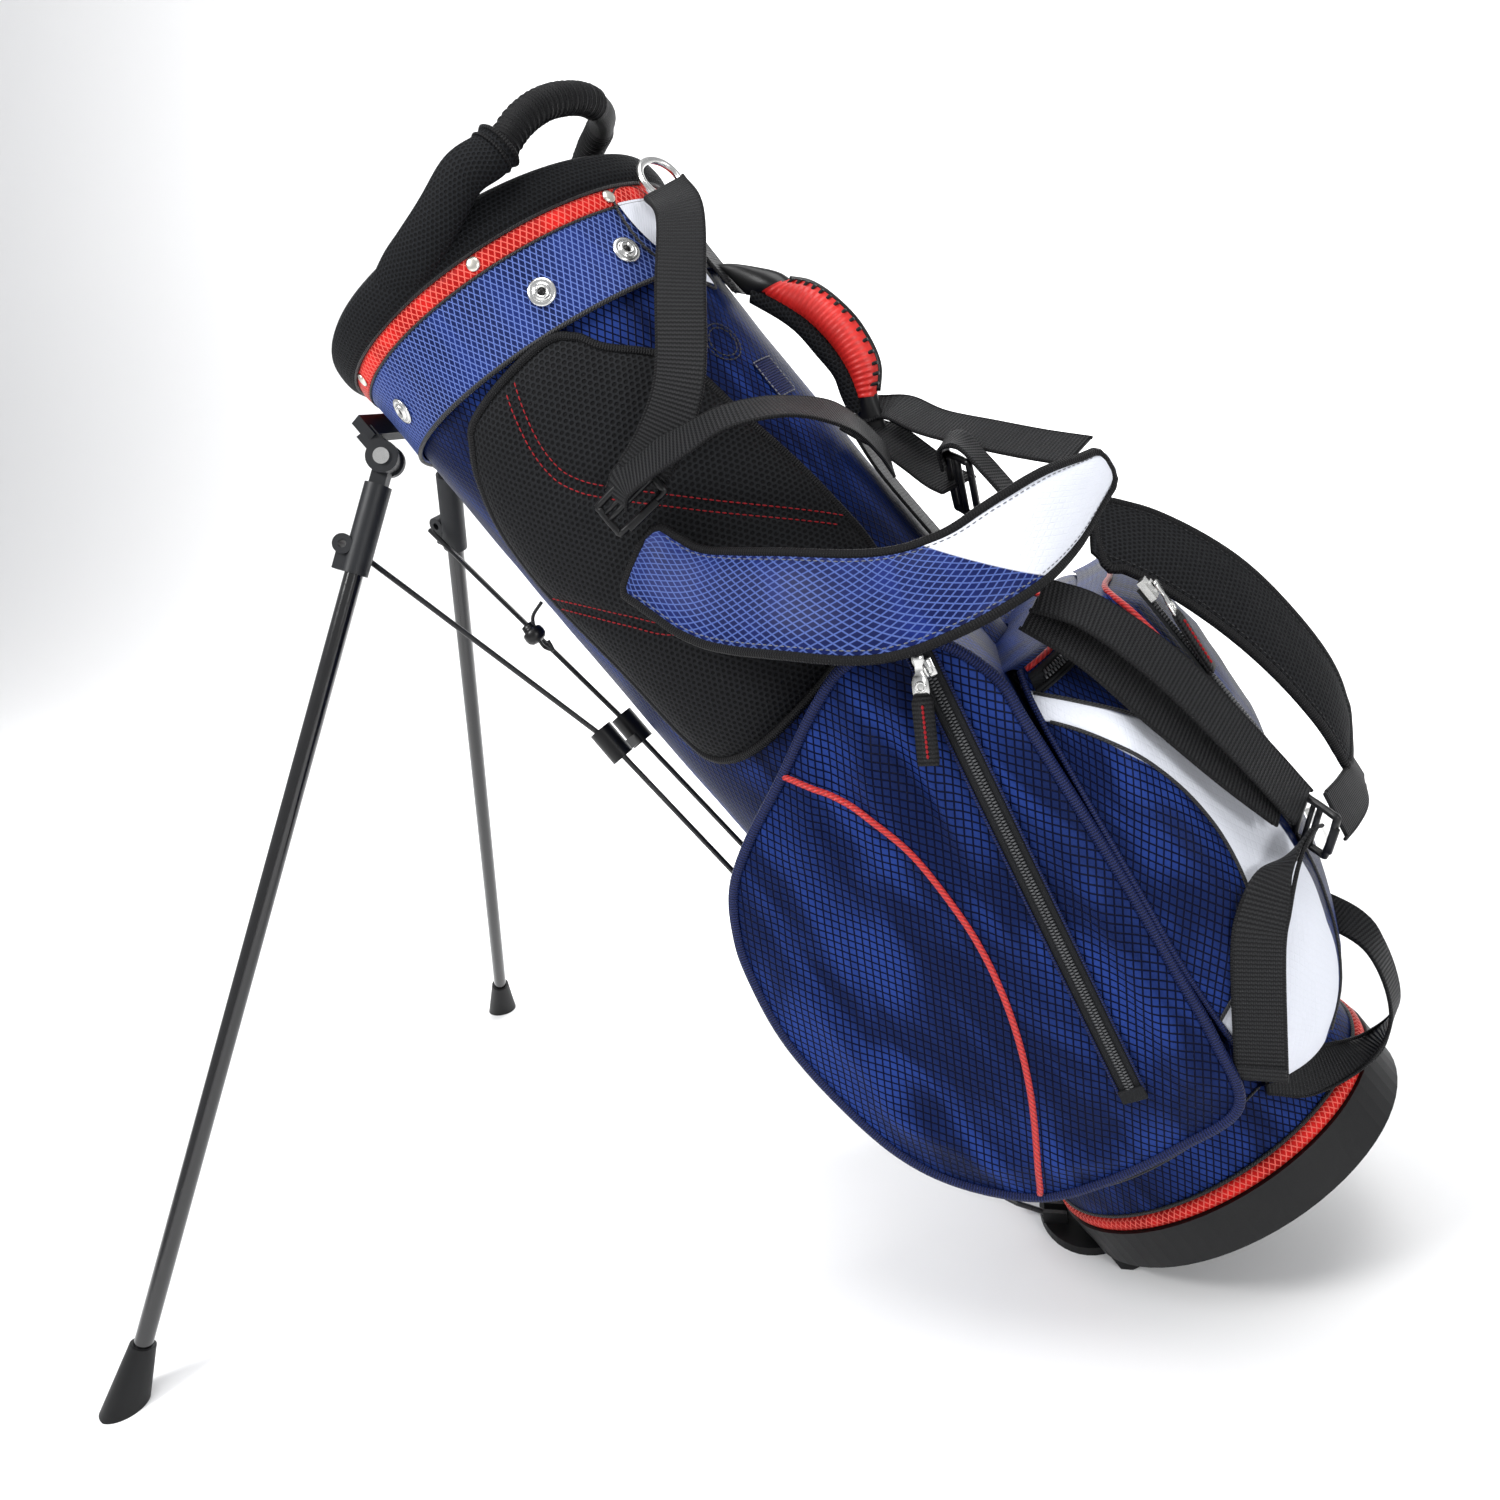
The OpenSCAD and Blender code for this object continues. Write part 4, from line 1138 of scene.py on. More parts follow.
ACCESSORY_LOW, ACCESSORY_TOP_Z = 226, 404
ACCESSORY_ROWS = [(226, 76, 191, 197), (262, 92, 198, 206), (330, 100, 200, 212), (380, 98, 197, 206),
                  (404, 88, 186, 192)]


def accessory_row(z):
    """Half width, edge and middle depth of the pocket at a height."""
    return [lookup(z, [(r[0], r[k]) for r in ACCESSORY_ROWS]) for k in (1, 2, 3)]


def accessory_point(u, v):
    """Across the pocket and up it; the outer share of each turns in to the ball pocket."""
    z = mix(ACCESSORY_LOW, ACCESSORY_TOP_Z, smooth(v) * 0.4 + v * 0.6)
    half, edge, mid = accessory_row(z)
    y = half * (1 - 2 * u)
    share = abs(1 - 2 * u)
    rim = max(share, abs(2 * v - 1))
    x = mid - (mid - edge) * share ** 2 - 7 * rim ** 10
    back, ball_half, deep = BALL_TABLE[max(BALL_LOW, min(BALL_TOP, int(z)))]
    under = back + (deep - back) * cos(asin(min(1, abs(y) / ball_half))) ** 0.7
    x = mix(x, under + 1, smooth((rim - 0.93) / 0.07))
    p = Vector((x, y, z))
    p.x += (0.8 * wave(p, 30, 4) + 0.3 * wave(p, 13, 8)) * (1 - rim ** 8)
    return p


surface("accessory_pocket_cloth", accessory_point, 70, 70, NAVY, replaces=["accessory_pocket"])


def accessory_rim(inset, lift):
    """A closed line round the pocket's face."""
    line = []
    widths, heights = (-0.8, -0.4, 0, 0.4, 0.8), (-0.7, -0.3, 0.1, 0.5, 0.8)
    for a, b in [(a, -1.0) for a in widths] + [(1.0, b) for b in heights] \
            + [(-a, 1.0) for a in widths] + [(-1.0, b) for b in heights[::-1]]:
        a, b = a * inset, b * inset
        z = mix(ACCESSORY_LOW, ACCESSORY_TOP_Z, (b + 1) / 2)
        half, edge, mid = accessory_row(z)
        line.append(Vector((mid - (mid - edge) * a * a - 4 + lift, -a * half, z)))
    return spline(line, 6, closed=True)


tube("accessory_piping", accessory_rim(0.95, 2.4), 1.9, RED_CORD, 8, closed=True,
     replaces=["accessory_pocket"])

ACCESSORY_TOP = Vector((205.5, -82, 386))
ACCESSORY_TURN = radians(77)
ACCESSORY_SIDE = Vector((cos(ACCESSORY_TURN), sin(ACCESSORY_TURN), 0))
ACCESSORY_OUT = Vector((sin(ACCESSORY_TURN), -cos(ACCESSORY_TURN), 0))


def accessory_zip(down, across=0.0, out=0.0):
    return ACCESSORY_TOP + Vector((0, 0, -down)) + ACCESSORY_SIDE * across + ACCESSORY_OUT * out


group("accessory_zip_cloth", [tape_mesh(accessory_zip, 150, 7)], TAPE, replaces=["accessory_zip_tape"])
group("accessory_zip_coil", coil_mesh(accessory_zip, 138), COIL, replaces=["accessory_zip_tape"])

BALL_ZIP_R, BALL_ZIP_MID = 301.5, Vector((-103, -50, 262))


def ball_zip(down, across=0.0, out=0.0):
    t = radians(-8) - down / BALL_ZIP_R
    p = Vector((cos(t), 0, -sin(t)))
    return BALL_ZIP_MID + p * (BALL_ZIP_R + out) + Vector((0, across, 0))


group("ball_zip_cloth", [tape_mesh(ball_zip, 131, 8)], TAPE, replaces=["ball_zip_tape"])
group("ball_zip_coil", coil_mesh(ball_zip, 122), COIL, replaces=["ball_zip_tape"])
tube("ball_zip_piping", [ball_zip(s, -9.5, 1.2) for s in range(-6, 136, 6)], 1.9, RED_CORD, 8,
     replaces=["ball_zip_tape"])


# ---------------------------------------------------------------- straps

STRAP_THICK = 2.0


def strap_pieces(name, node, rows, **where):
    """Webbing with rolled selvages; rows give its middle and its half width as vectors."""
    path, halves = [r[:3] for r in rows], [r[3:] for r in rows]
    strap = group(name, [band_mesh(path, halves, STRAP_THICK)], WEB, replaces=[node], **where)
    edges = [tube_mesh([p + h * side * 0.97 for p, h in zip(spline(path, 10), spline(halves, 10))],
                       STRAP_THICK * 0.62, 6) for side in (-1, 1)]
    return strap, group(name + "_selvage", edges, BINDING, replaces=[node], **where)


STRAPS = (
    ("strap_from_ring", "ring_webbing", [(134, -50, 772, -13, -6, 2), (136, -76, 745, -12, -6, 6),
        (113, -107, 704, -10, -5, 10), (84, -130, 662, -9, -4, 11), (54, -140, 642, -5, -3, 14),
        (28, -142, 635, -2, -1, 15)]),
    ("strap_across", "cross_webbing", [(10, -147, 634, -3, 8, 11), (21, -148, 639, 0, 9, 11),
        (43, -150, 636, 1, 10, 10), (68, -151, 630, 0, 11, 9), (91, -147, 625, -1, 11, 8),
        (111, -137, 615, -3, 10, 9), (125, -119, 603, -3, 9, 10), (136, -92, 585, -1, 8, 12),
        (136, -62, 567, 1, 8, 12), (132, -36, 549, 3, 8, 11)]),
    ("strap_to_shoulder", "shoulder_webbing", [(128, 8, 592, 7, 11, 6), (139, 6, 584, 8, 11, 4),
        (152, 2, 574, 10, 10, 0), (166, -20, 550, 10, 9, 0), (189, -43, 521, 10, 9, 1),
        (209, -61, 497, 10, 9, 1), (228, -78, 476, 10, 9, 1)]),
    ("strap_to_buckle", "shoulder_webbing", [(122, 2, 588, 7, 12, -1), (129, -3, 575, 9, 10, -1),
        (137, -12, 561, 10, 9, -1), (145, -26, 538, 10, 9, -2), (152, -42, 518, 10, 9, -3),
        (158, -51, 507, 10, 9, -3)]),
    ("strap_buckle_loop", "shoulder_webbing", [(160, -50, 522, 3, 11, 2), (167, -55, 533, 3, 11, 2),
        (178, -65, 527, 3, 11, 3), (182, -80, 505, 3, 11, 3), (184, -90, 484, 3, 11, 3)]),
    ("strap_down_outer", "lower_webbing", [(168, -147, 430, 8, 11, 2), (184, -144, 402, 8, 11, 2),
        (196, -138, 350, 9, 11, 1), (201, -128, 284, 9, 11, 1), (202, -114, 234, 9, 11, 1)]),
    ("strap_down_inner", "lower_webbing", [(158, -150, 426, 8, 11, 2), (170, -147, 388, 8, 11, 2),
        (178, -141, 334, 8, 11, 1), (186, -132, 282, 8, 11, 1), (193, -120, 242, 8, 11, 1)]),
    ("strap_to_rear_pad", "lower_webbing", [(235, -2, 198, 4, 6, 14), (229, -22, 193, 4, 6, 14),
        (219, -50, 197, 4, 6, 14), (210, -74, 203, 4, 6, 14)]),
    ("base_webbing_loop", "base_loop", [(158, -8, 132, 5, 11, 6), (175, -30, 102, 6, 12, 3),
        (161, -40, 57, 4, 13, -3), (131, -46, 43, 3, 13, 2), (97, -76, 64, 6, 6, 12),
        (76, -95, 84, 4, 3, 8)]),
    ("spine_strap_top", "spine_webbing", [(120.5, 0, 768, 0, 15, 0), (119.5, 0, 738, 0, 15, 0),
        (119.5, 0, 704, 0, 15, 0)]),
    ("spine_strap_low", "spine_webbing", [(121, 0, 580, 0, 15, 0), (117.5, 0, 545, 0, 15, 0),
        (118.5, 0, 480, 0, 15, 0), (119, 0, 440, 0, 15, 0)]))
for strap_name, strap_node, strap_rows in STRAPS:
    strap_pieces(strap_name, strap_node, strap_rows)
tail, tail_selvage = strap_pieces("strap_end", "strap_tail", [(388, -112, 354, 9, 6, 9),
    (379, -128, 357, 10, 5, 9), (366, -148, 350, 13, 4, 4),
    (358, -160, 332, 14, 1, 0), (354, -164, 306, 14, 0, 0),
    (354, -164, 226, 14, -1, 0)], place=row, body="tail")
TAIL_ACROSS = Vector((14, -1, 0)).normalized()
TAIL_AXES = (TAIL_ACROSS, Z_UP.cross(TAIL_ACROSS), Z_UP)
tail_hem = group("strap_end_hem", [block_mesh((354, -164, 231), (27.6, 4.6, 8), TAIL_AXES, 1.0)], WEB, place=row,
                 body="tail", replaces=["strap_tail"])


PAD_CROWN = 3.2


def pad_piece(name, node, outer, rows):
    """A shoulder pad: a crowned body, mesh behind, cloth in front and a binding round its edge."""
    pts, hs = spline([r[:3] for r in rows], 10), spline([r[3:] for r in rows], 10)
    n = len(pts)
    dist = lengths(pts)
    to_end = [min(d, dist[-1] - d) for d in dist]
    stations = []
    for i, (p, h) in enumerate(zip(pts, hs)):
        t = (pts[min(i + 1, n - 1)] - pts[max(i - 1, 0)]).normalized()
        h = h - t * h.dot(t)
        width = 0.72 + 0.28 * smooth(min(1.0, to_end[i] / 14 + 0.35))
        stations.append((p, h * width, t.cross(h).normalized()))

    def face_point(sign):
        def point(u, v):
            i = int(round(v * (n - 1)))
            p, h, nrm = stations[i]
            x = 2 * u - 1
            swell = 1.0 + PAD_CROWN * (1 - abs(x) ** 3.2) * (0.25 + 0.75 * smooth(to_end[i] / 16))
            swell += 0.5 * wave(p + h * x, 26, sign) * (1 - x * x)
            return p + h * (x if sign > 0 else -x) * 0.96 + nrm * sign * swell
        return point

    def weave(i, j):
        return (2 * i / 20 - 1) * hs[n // 2].length / 1000, dist[j] / 1000

    front, back = (grid_mesh(face_point(sign), 20, n - 1, weave=weave) for sign in (1, -1))
    pad = group(name + "_front", [front], outer, slot="navy_ripstop", replaces=[node])
    group(name + "_back", [back], MESH, replaces=[node])
    loop = [p + h * 0.97 for p, h, _ in stations] + [p - h * 0.97 for p, h, _ in reversed(stations)]
    tube(name + "_binding", spline(loop[::3], 3, closed=True), 3.1, BINDING, 8, closed=True, replaces=[node])
    stitched = []
    for sign in (-1, 1):
        line = [p + h * 0.82 * sign + nrm * (1.1 + PAD_CROWN * 0.46) for p, h, nrm in stations[2:-2]]
        stitched.extend(stitch_mesh(line, 2.6, 1.4, 0.35))
    group(name + "_stitches", stitched, BLACK_CORD if outer is MESH else GREY_THREAD, slot="black_webbing",
          replaces=[node])


def pad_white(s):
    """White on the far end of the front pad, past a slanting seam."""
    slant = s.scaled(s.place(DORSAL), 1.44, s.plus(s.place(AXIS), -696.0))
    return s.step(slant, -0.8, 0.8)


# The pad cloth's light blue lattice threads are a painted glint.
PAD_CLOTH = ripstop("shoulder_pad_cloth", (0.005, 0.013, 0.1), (0.07, 0.115, 0.34), 5.0, 8.0, 0.44,
                    white=pad_white, shine=0.12, sheen=1.5)
pad_piece("front_shoulder_pad", "front_pad", PAD_CLOTH, [(-6, -142, 600, 16, 10, 24),
    (17, -158, 556, 14, 14, 24), (63, -182, 517, 17, 13, 22), (104, -188, 484, 17, 14, 22),
    (143, -180, 468, 16, 15, 22), (176, -162, 462, 15, 12, 25), (206, -134, 460, 16, 9, 22),
    (238, -96, 460, 6, 5, 8)])
pad_piece("rear_shoulder_pad", "rear_pad", MESH, [(204, -56, 434, 12, 22, 10),
    (224, -42, 399, 14, 24, 10), (240, -28, 350, 16, 25, 8), (247, -16, 300, 15, 27, 6),
    (247, -6, 250, 13, 28, 4), (238, 2, 208, 8, 27, 2)])


BUCKLE_FRAME = [(11, 17, 0), (8, 20, 0), (-8, 20, 0), (-11, 17, 0), (-11, -17, 0), (-8, -20, 0), (8, -20, 0),
                (11, -17, 0)]


def buckle_parts(at, turn):
    """A ladder-lock buckle: a rounded frame, two bars and a lifting lip; turn is about x, y, then z."""
    rot = Matrix.Identity(4)
    for angle, axis in zip(turn, "XYZ"):
        rot = Matrix.Rotation(radians(angle), 4, axis) @ rot
    m = Matrix.Translation(Vector(at)) @ rot
    parts = [tube_mesh([m @ p for p in spline(BUCKLE_FRAME, 3, closed=True)], 2.3, 10, closed=True)]
    for x, r in ((0, 1.9), (-4.5, 1.5)):
        parts.append(tube_mesh([m @ Vector((x, y, 0.4)) for y in (-20, -10, 0, 10, 20)], r, 10))
    parts.append(block_mesh(m @ Vector((12.5, 0, 1.2)), (5, 26, 2.4),
                            [rot.to_3x3() @ a for a in (Vector((1, 0, 0)), ACROSS, Z_UP)], 0.9))
    return parts


buckles = []
for at, turn in (((16, -143, 629), (90, 90, 0)), ((160, -53, 505), (80, 40, -60)),
                 ((199, -97, 213), (80, 50, -60))):
    buckles.extend(buckle_parts(at, turn))
group("ladder_locks", buckles, PLASTIC, replaces=["strap_buckles"])


# ---------------------------------------------------------------- handles

carry = spline([(78, -106, 840), (98, -88, 851), (114, -62, 857), (125, -26, 858), (123, 10, 858),
                (110, 36, 863), (90, 60, 869), (70, 82, 870), (58, 104, 858)], 26)
carry_s = lengths(carry)


def carry_radius(s):
    """Ribbed elastic wrap, plain over the middle of the arch."""
    middle = smooth((26 - abs(s - carry_s[-1] * 0.55)) / 8)
    rib = 0.5 + 0.5 * cos(2 * pi * s / 5.2)
    return 9.2 + (1 - middle) * 1.2 * rib - 0.4 * middle


handle = tube("carry_handle_wrap", carry, carry_radius, BINDING, 20, slot="air_mesh",
              replaces=["carry_handle"])
sleeve_line = spline([(-56, -108, 836), (-28, -117, 837), (4, -121, 835), (32, -121, 838), (57, -117, 844),
                      (74, -109, 843), (84, -101, 845)], 10)
sleeve_s = lengths(sleeve_line)


def sleeve_point(u, v):
    """Flattened mesh tube from the collar's side up over the end of the handle."""
    k = int(round(v * (len(sleeve_line) - 1)))
    _, a, b = sleeve_frames[k]
    w = 2 * pi * u
    share = sleeve_s[k] / sleeve_s[-1]
    wide, deep = mix(19, 14.2, share ** 0.7), mix(6.4, 10.0, share)
    ease = smooth(share / 0.45)
    wrinkle = 0.5 * wave(sleeve_line[k] + b * sin(w) * 9, 20)
    return sleeve_line[k] + a * cos(w) * mix(9, wide, ease) + b * sin(w) * mix(4, deep, ease) + a * wrinkle


sleeve_frames = frames_along(sleeve_line, up=(0, 0, 1))
sleeve = grid_mesh(sleeve_point, 36, len(sleeve_line) - 1, close_u=True)


def sleeve_hem(back, wide, deep, radius):
    """A rolled hem round the sleeve's upper end, a little back from its edge."""
    t, a, b = sleeve_frames[-2]
    loop = [sleeve_line[-1] - t * back + a * wide * cos(w) + b * deep * sin(w)
            for w in (2 * pi * k / 28 for k in range(28))]
    return tube_mesh(loop, radius, 6, closed=True)


hems = [sleeve_hem(2, 14.2, 10.2, 1.7), sleeve_hem(9, 14.4, 10.4, 1.0)]
sleeves = group("handle_sleeve_mesh", both([sleeve]), MESH_COLLAR, replaces=["handle_sleeves"])
group("handle_sleeve_hems", both(hems), BINDING, replaces=["handle_sleeves"])


def loft(rows, steps, sides=20, edge=None):
    """A bar of flat rounded sections in the middle plane: rows of (centre x, z, half x, z, thickness).

    Also gives the path and the half widths along it."""
    pts = spline([(r[0], 0, r[1]) for r in rows], steps)
    halves = spline([(r[2], 0, r[3]) for r in rows], steps)
    thick = spline([(r[4], 0, 0) for r in rows], steps)
    dist = lengths(pts)

    def point(u, v):
        k = int(round(v * (len(pts) - 1)))
        w = 2 * pi * u
        rise = edge(dist[k], w) if edge else 0.0
        return pts[k] + halves[k] * cos(w) + Vector((0, (thick[k].x + rise) * sin(w), 0))
    return grid_mesh(point, sides, len(pts) - 1, close_u=True), pts, halves


def grip_rib(s, w):
    """Fine cross ribs on the grip's two broad faces."""
    return 0.9 * (0.5 + 0.5 * cos(2 * pi * s / 3.8)) * smooth((cos(w + pi) + 1.1) / 0.8)


GRIP_ROWS = [(140, 690, 10, -3, 8), (149, 672, 11, 2, 9.5), (154, 655, 11.5, 0, 10),
             (155.5, 632, 11.5, -1, 10), (151, 609, 10, -4, 9), (141, 593, 5.5, -4, 6.5)]
PALM_ROWS = [(126, 698, 6, 4, 4), (134, 676, 6, 4, 6), (138, 657, 6.5, 1, 7), (139, 637, 7, 0, 7),
             (138.5, 618, 6.5, -1, 7), (134, 602, 6.5, -4, 6), (129, 590, 5, -3, 4)]
TIP_ROWS = [[(143, 684, 9, -1, 8.4), (138, 694, 10, 1, 7), (131, 703, 7, 6, 4.5), (125, 710, 3, 11, 2.6),
             (121, 713, -1, 15, 1.5)],
            [(144, 598, 6, -3.5, 7), (139, 589, 5.5, -5, 5.6), (133, 579, 5, -9, 3.2),
             (128, 571, 4, -14, 1.6)]]
grip_red, grip_pts, grip_halves = loft(GRIP_ROWS, 26, 28, grip_rib)
group("grip_body", [grip_red], RED_RUBBER, replaces=["grip_handle"])
palm = group("grip_palm_mesh", [loft(PALM_ROWS, 8)[0]], MESH_COLLAR, replaces=["grip_handle"])
group("grip_tips", [loft(rows, 6)[0] for rows in TIP_ROWS], PLASTIC, replaces=["grip_handle"])
rim_line = [p + h * 0.93 for p, h in zip(grip_pts, grip_halves)]
teeth = [tube_mesh(rim_line[3:-3:3], 2.6, 8, up=(0, 1, 0))]
for k in range(8, len(grip_pts) - 8, 8):
    t = (grip_pts[k + 1] - grip_pts[k - 1]).normalized()
    out = grip_halves[k].normalized()
    teeth.append(block_mesh(grip_pts[k] + grip_halves[k] * 0.74, (6.5, 13.5, 2.4), (out, ACROSS, t), 0.8))
group("grip_back_ridge", teeth, PLASTIC, replaces=["grip_handle"])


# ---------------------------------------------------------------- studs, labels and cord lock

# Turned profiles: (distance outward, radius)
SNAP = [(0, 9), (0.8, 9.2), (1.5, 8.6), (1.8, 7.2), (1.5, 6.2), (1.4, 5.6), (2.6, 5.2), (3.2, 4.4),
        (3.1, 3.2), (1.6, 2.6), (1.2, 0.5)]
SNAP_CENTRE = [(0, 2.7), (0.5, 2.4), (0.9, 1.2), (1.0, 0.2)]
RIVET = [(0, 4.5), (0.7, 4.6), (1.4, 4.0), (1.9, 2.6), (2.0, 0.4)]


def stud_frame(t, below, off):
    """A stud's place below the mouth plane and its outward direction."""
    p = skin(t, mouth_z(t, -below), off)
    return p, (skin(t, p.z, off + 10) - p).normalized()


studs, centres, rivets = [], [], []
for angle in (65, 36, 130):
    at, out = stud_frame(angle, 36, 3.0)
    studs.append(lathe_mesh(at, out, SNAP))
    centres.append(lathe_mesh(at + out * 1.5, out, SNAP_CENTRE, 16))
for angle in (75, 29, 137):
    rivets.append(lathe_mesh(*stud_frame(angle, 0, 4.6), RIVET, 24))
group("ring_snaps", both(studs), SILVER, replaces=["snap_studs"])
group("ring_snap_centres", both(centres), PLASTIC, replaces=["snap_studs"])
group("mouth_rivets", both(rivets), CREAM, replaces=["cap_rivets"])

BADGE = Vector((radians(27) * HIP_R, 677, 0))
badge = []
for radius in (13.5, 10.5):
    loop = [on_skin(BADGE + Vector((cos(a), sin(a), 0)) * radius, 1.2)
            for a in (2 * pi * k / 40 for k in range(41))]
    badge.extend(stitch_mesh(loop, 3.0, 0.6, 0.55))
group("stitched_ring_badge", badge, BLACK_CORD, replaces=["body_shell"])


def label_at(a, b, off):
    """A point of the blank label; a and b run from -1 to 1 across and up it."""
    return skin(17 + a, 641 + b, off)


label = grid_mesh(lambda u, v: label_at(-5.5 * (2 * u - 1), 15 * (2 * v - 1), 1.6), 8, 12)
label_edge = [label_at(5.2 * a, 14 * b, 2.2)
              for a, b in ((-1, -1), (-1, 0), (-1, 1), (0, 1), (1, 1), (1, 0), (1, -1), (0, -1), (-1, -1))]
group("blank_woven_label", [label], NAVY_BINDING, replaces=["body_shell"])
group("label_stitches", stitch_mesh(label_edge, 2.4, 0.9, 0.5), GREY_THREAD, replaces=["body_shell"])

LOCK = [(0, 3), (0.8, 5.6), (3, 7.6), (6, 8), (9, 7.6), (10, 6.8), (10.4, 5.2), (12, 5.0), (15, 4.4),
        (15.4, 3)]
tail_loop = spline([(-139, -63, 619), (-140, -62, 612), (-136, -62, 607), (-134, -62, 614)], 6)
lock = [lathe_mesh((-139, -63, 617.5), Z_UP, LOCK, 24), tube_mesh(tail_loop, 1.3, 6)]
group("cord_lock_body", lock, PLASTIC, replaces=["cord_lock"])
tube("cord_lock_cord", spline([(-136, -63, 627), (-130, -63, 634), (-118, -62, 637)], 6), 1.4, BLACK_CORD, 6,
     slot="black_plastic", replaces=["cord_lock"])


# ---------------------------------------------------------------- base

def base_trim_point(u, v):
    section = ((126.6, 30.4), (129.2, 31), (130, 35.2), (129.2, 39.4), (126.6, 40))
    out, z = section[int(round(v * 4))]
    t = radians(turned(u))
    return Vector((out * cos(t), -(out - 17) * sin(t), z))


surface("base_red_trim", base_trim_point, 180, 4, RED, close_u=True, replaces=["base_trim"])
base_angles = [turned(k / 120) for k in range(120)]
tube("base_seam", [skin(t, 41.5, 0.6) for t in base_angles], 1.3, BLACK_CORD, 8, closed=True,
     replaces=["body_shell"])
tube("base_band_seam", [skin(t, 74 + 10 * cos(radians(t)), 0.6) for t in base_angles], 0.9, BLACK_CORD, 6,
     closed=True, replaces=["body_shell"])


# ---------------------------------------------------------------- zip sliders and pulls

def node_box(node):
    """The lowest and highest corners of a CAD node's mesh, in row-frame millimetres."""
    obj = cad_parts[node]
    pts = [obj.matrix_world @ v.co * 1000 for v in obj.data.vertices]
    return [Vector((pick(p[k] for p in pts) for k in range(3))) for pick in (min, max)]


def plate_mesh(at, across, down, out, rows, thick):
    """A die-cut plate; rows list (distance down, half width)."""
    def point(u, v):
        k = v * (len(rows) - 1)
        a, b = rows[int(k)], rows[min(int(k) + 1, len(rows) - 1)]
        d, w = (mix(a[i], b[i], k - int(k)) for i in (0, 1))
        x, y = ((-1, 1), (1, 1), (1, -1), (-1, -1))[int(round(u * 4)) % 4]
        return at + down * d + across * w * x + out * y * thick / 2
    verts, faces, uvs = grid_mesh(point, 4, len(rows) - 1, close_u=True)
    last = len(verts) - 4
    faces += [[3, 2, 1, 0], [last, last + 1, last + 2, last + 3]]
    return verts, faces, uvs + [(0, 0)] * 8


PULL_PLATE = [(-2, 2.4), (0, 3.4), (3, 3.4), (5, 2.2), (9, 2.2), (11, 3.6), (14, 4.6), (20, 4.8), (23, 4.2),
              (24.4, 2.6)]
PULL_TAB = [(21, 4.2), (26, 6.0), (60, 6.2), (63.4, 5.8)]


def pull_parts(at, across, down, out):
    """A stamped pull with an eye, its webbing tab and the tab's stitching."""
    eye = [at + down * (17 + 2.6 * cos(a)) + across * 2.6 * sin(a) + out * 0.8
           for a in (2 * pi * k / 16 for k in range(16))]
    plate = [plate_mesh(at, across, down, out, PULL_PLATE, 1.5), tube_mesh(eye, 0.8, 6, closed=True)]
    tab = [plate_mesh(at + out * o, across, down, out, PULL_TAB, 1.3) for o in (-0.9, 0.9)]
    return plate, tab, stitch_mesh([at + down * d + out * 1.9 for d in range(27, 62, 3)], 2.4, 0.5, 0.9)


def slider_parts(at, across, up, out):
    """A zip slider: two plates, a bridge over them."""
    parts = [block_mesh(at + out * 2.2, (9.5, 1.6, 11), (across, out, up), 0.7),
             block_mesh(at + out * 3.6 + up * 1, (6.5, 2.4, 9), (across, out, up), 1.0)]
    bridge = [at + up * d + out * o for d, o in ((5, 4), (3.6, 7.2), (0, 8.4), (-3.4, 7.2), (-4.6, 4.4))]
    parts.append(tube_mesh(spline(bridge, 4), 1.15, 8))
    return parts


def pull_pieces(side, at, across, down, out, **where):
    for part, parts, material in zip(("pull_plate", "pull_tab", "pull_stitches"),
                                     pull_parts(at, across, down, out), (SILVER, WEB, RED_THREAD)):
        group(side + "_" + part, parts, material, body=side + "_pull", replaces=[side + "_zip_pull"], **where)


for side, turn in SIDES:
    low, high = node_box(side + "_zip_pull")
    hang = Vector(((low.x + high.x) / 2, (low.y + high.y) / 2, high.z - 2))
    pull_pieces(side, hang, Vector((1, 0, 0)), -Z_UP, -ACROSS if side == "near" else ACROSS, place=row)
    shapes = slider_parts(zip_at(9, 0, 0.6), ZIP_SIDE, -ZIP_DOWN, -ACROSS)
    group(side + "_slider_shape", [turn(m) for m in shapes], SILVER, body=side + "_slider",
          replaces=[side + "_zip_slider"])
lean_in = radians(6)
pull_pieces("accessory", ACCESSORY_TOP + ACCESSORY_OUT * 10, ACCESSORY_SIDE,
            -Z_UP * cos(lean_in) - ACCESSORY_OUT * sin(lean_in),
            ACCESSORY_OUT * cos(lean_in) - Z_UP * sin(lean_in))


# ---------------------------------------------------------------- carried-over CAD parts

def repaint(material, *nodes):
    for node in nodes:
        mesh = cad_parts[node].data
        mesh.materials.clear()
        mesh.materials.append(material)


repaint(RUBBER, "boot", "near_leg_foot", "far_leg_foot", "trigger_foot")
repaint(PLASTIC, "base_pan", "divider_rim", "wire_clip")
repaint(GREY, "stand_bracket", "near_leg_sleeve", "far_leg_sleeve")
repaint(TUBE, "near_leg_tube", "far_leg_tube")
repaint(WIRE, "lower_wires", "near_upper_wire", "far_upper_wire")
repaint(ROD, "body_stays")
repaint(SILVER, "top_ring", "foot_pin", "pivot_rivets")
for zip_name in ("near", "far", "accessory", "ball"):
    repaint(SILVER, zip_name + "_zip_slider", zip_name + "_zip_pull")


# ---------------------------------------------------------------- camera, light and floor

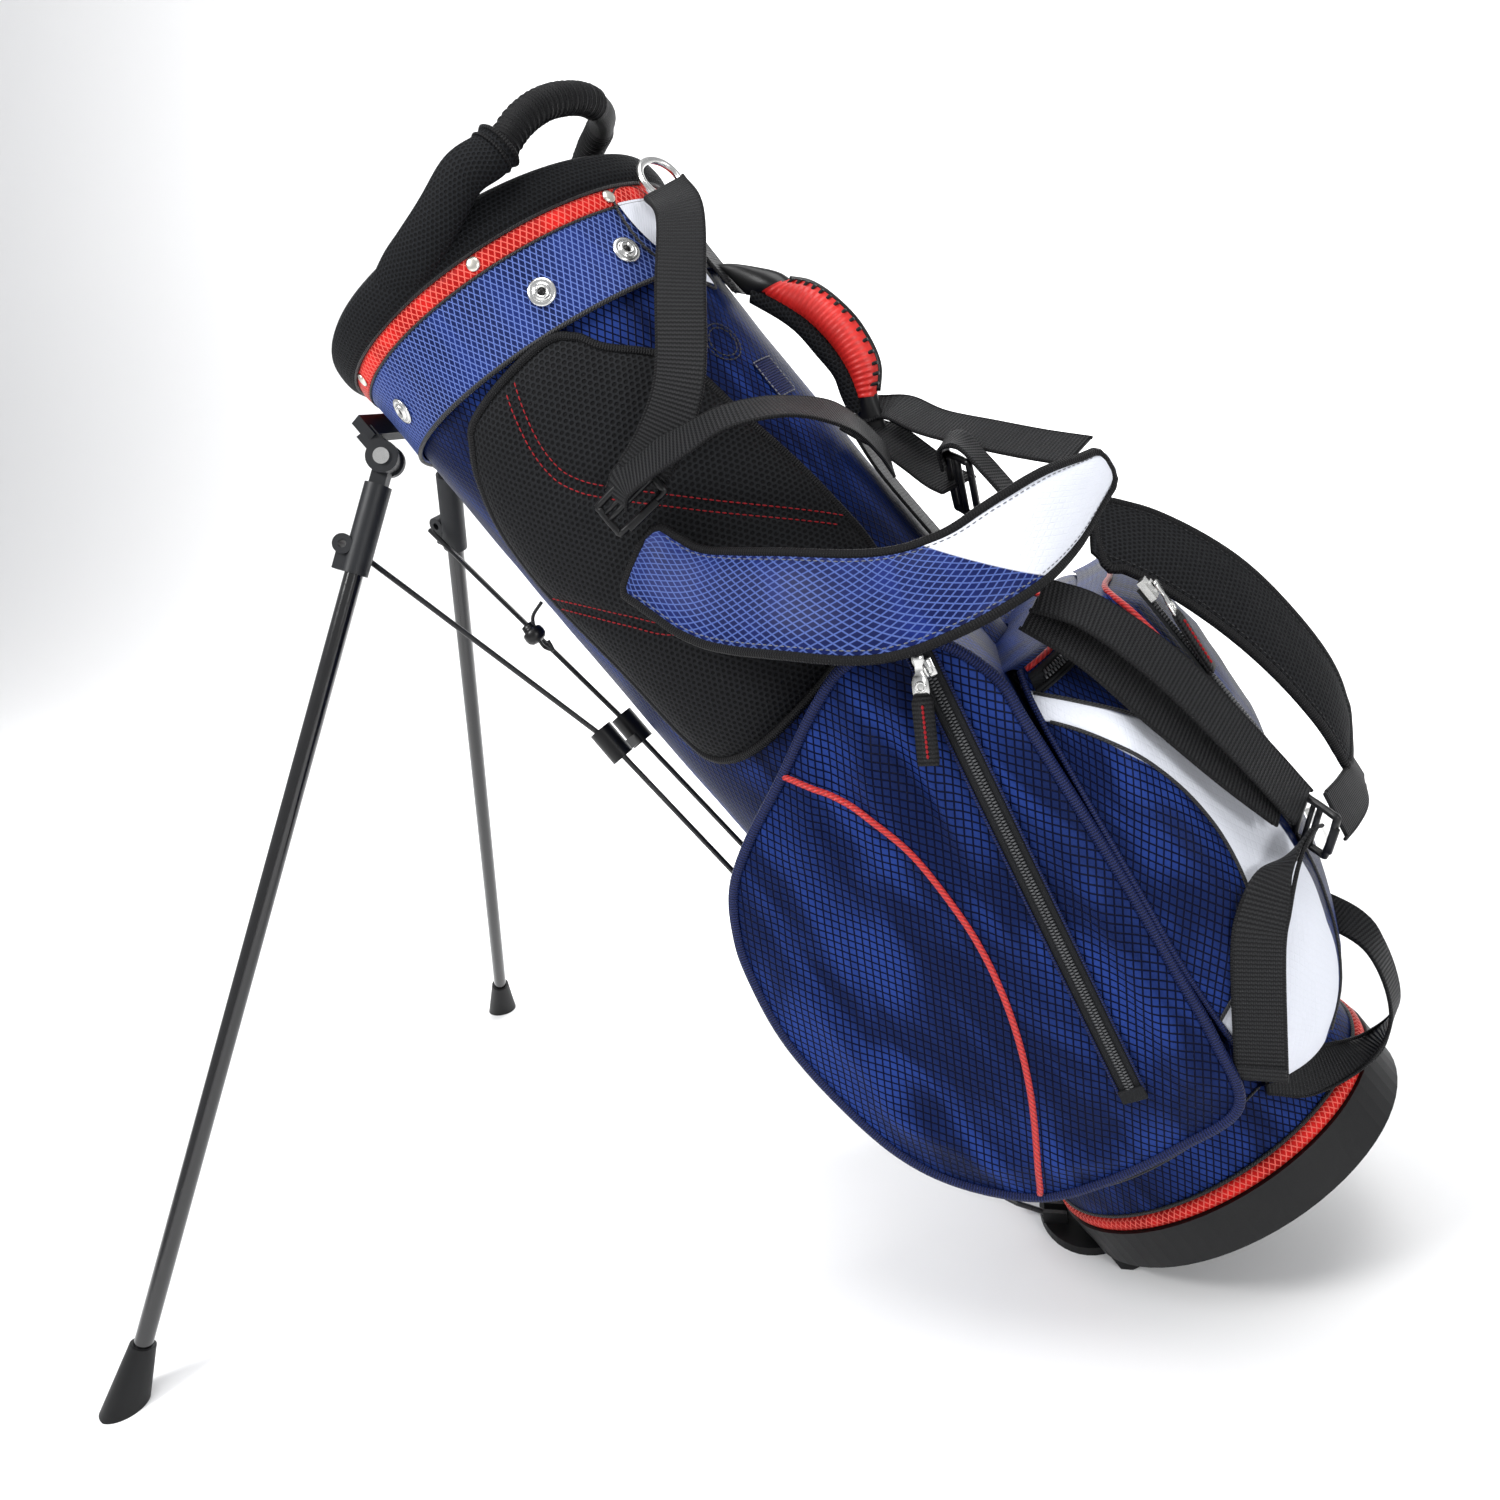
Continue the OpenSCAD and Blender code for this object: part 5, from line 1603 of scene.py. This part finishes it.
camera_data = bpy.data.cameras.new("camera")
camera_data.lens = 27.8
camera_data.sensor_width = 36
camera_data.clip_end = 50
camera = bpy.data.objects.new("camera", camera_data)
bpy.context.scene.collection.objects.link(camera)
camera.location = (0.2919, -0.8115, 0.6364)
camera.rotation_euler = [radians(a) for a in (74.29, 8.2, 16.6)]
bpy.context.scene.camera = camera


def area_light(name, at, target, size, power):
    """A round soft light; size in metres, power in watts."""
    data = bpy.data.lights.new(name, "AREA")
    data.shape = "DISK"
    data.size = size
    data.energy = power
    obj = bpy.data.objects.new(name, data)
    bpy.context.scene.collection.objects.link(obj)
    obj.location = at
    obj.rotation_euler = (Vector(target) - Vector(at)).to_track_quat("-Z", "Y").to_euler()


area_light("key", (-1.2, -1.5, 2.0), (0.1, 0, 0.4), 0.8, 42)
area_light("side", (1.7, -1.6, 1.0), (0.2, 0, 0.4), 0.7, 16)
area_light("top", (0.3, -0.5, 2.6), (0.1, 0, 0.4), 1.4, 26)
area_light("wall", (0.2, 1.2, 2.6), (-1.0, 4.0, 1.0), 2.4, 170)


# A pale sheet: flat under the object, curving up behind it; profile points are (y, z) in metres
FLOOR_END, CURVE = 2.2, 1.8
profile = [(-6.0, 0.0), (FLOOR_END, 0.0)]
profile += [(FLOOR_END + CURVE * sin(a), CURVE - CURVE * cos(a))
            for a in (radians(9 * k) for k in range(1, 11))]
profile.append((FLOOR_END + CURVE, 7.0))
floor_mesh = bpy.data.meshes.new("floor")
floor_mesh.from_pydata([(x, y, z) for y, z in profile for x in (-9.0, 9.0)], [],
                       [(2 * k, 2 * k + 1, 2 * k + 3, 2 * k + 2) for k in range(len(profile) - 1)])
floor_mesh.polygons.foreach_set("use_smooth", [True] * len(floor_mesh.polygons))
floor = bpy.data.objects.new("floor", floor_mesh)
bpy.context.scene.collection.objects.link(floor)
floor_mesh.materials.append(Shade("floor", (0.92, 0.92, 0.92), 0.9, Specular_IOR_Level=0.1).material)

world = bpy.data.worlds.new("studio")
world.use_nodes = True
background = world.node_tree.nodes["Background"]
background.inputs["Color"].default_value = (0.96, 0.97, 1.0, 1)
background.inputs["Strength"].default_value = 0.5
bpy.context.scene.world = world
bpy.context.scene.view_settings.view_transform = "Standard"
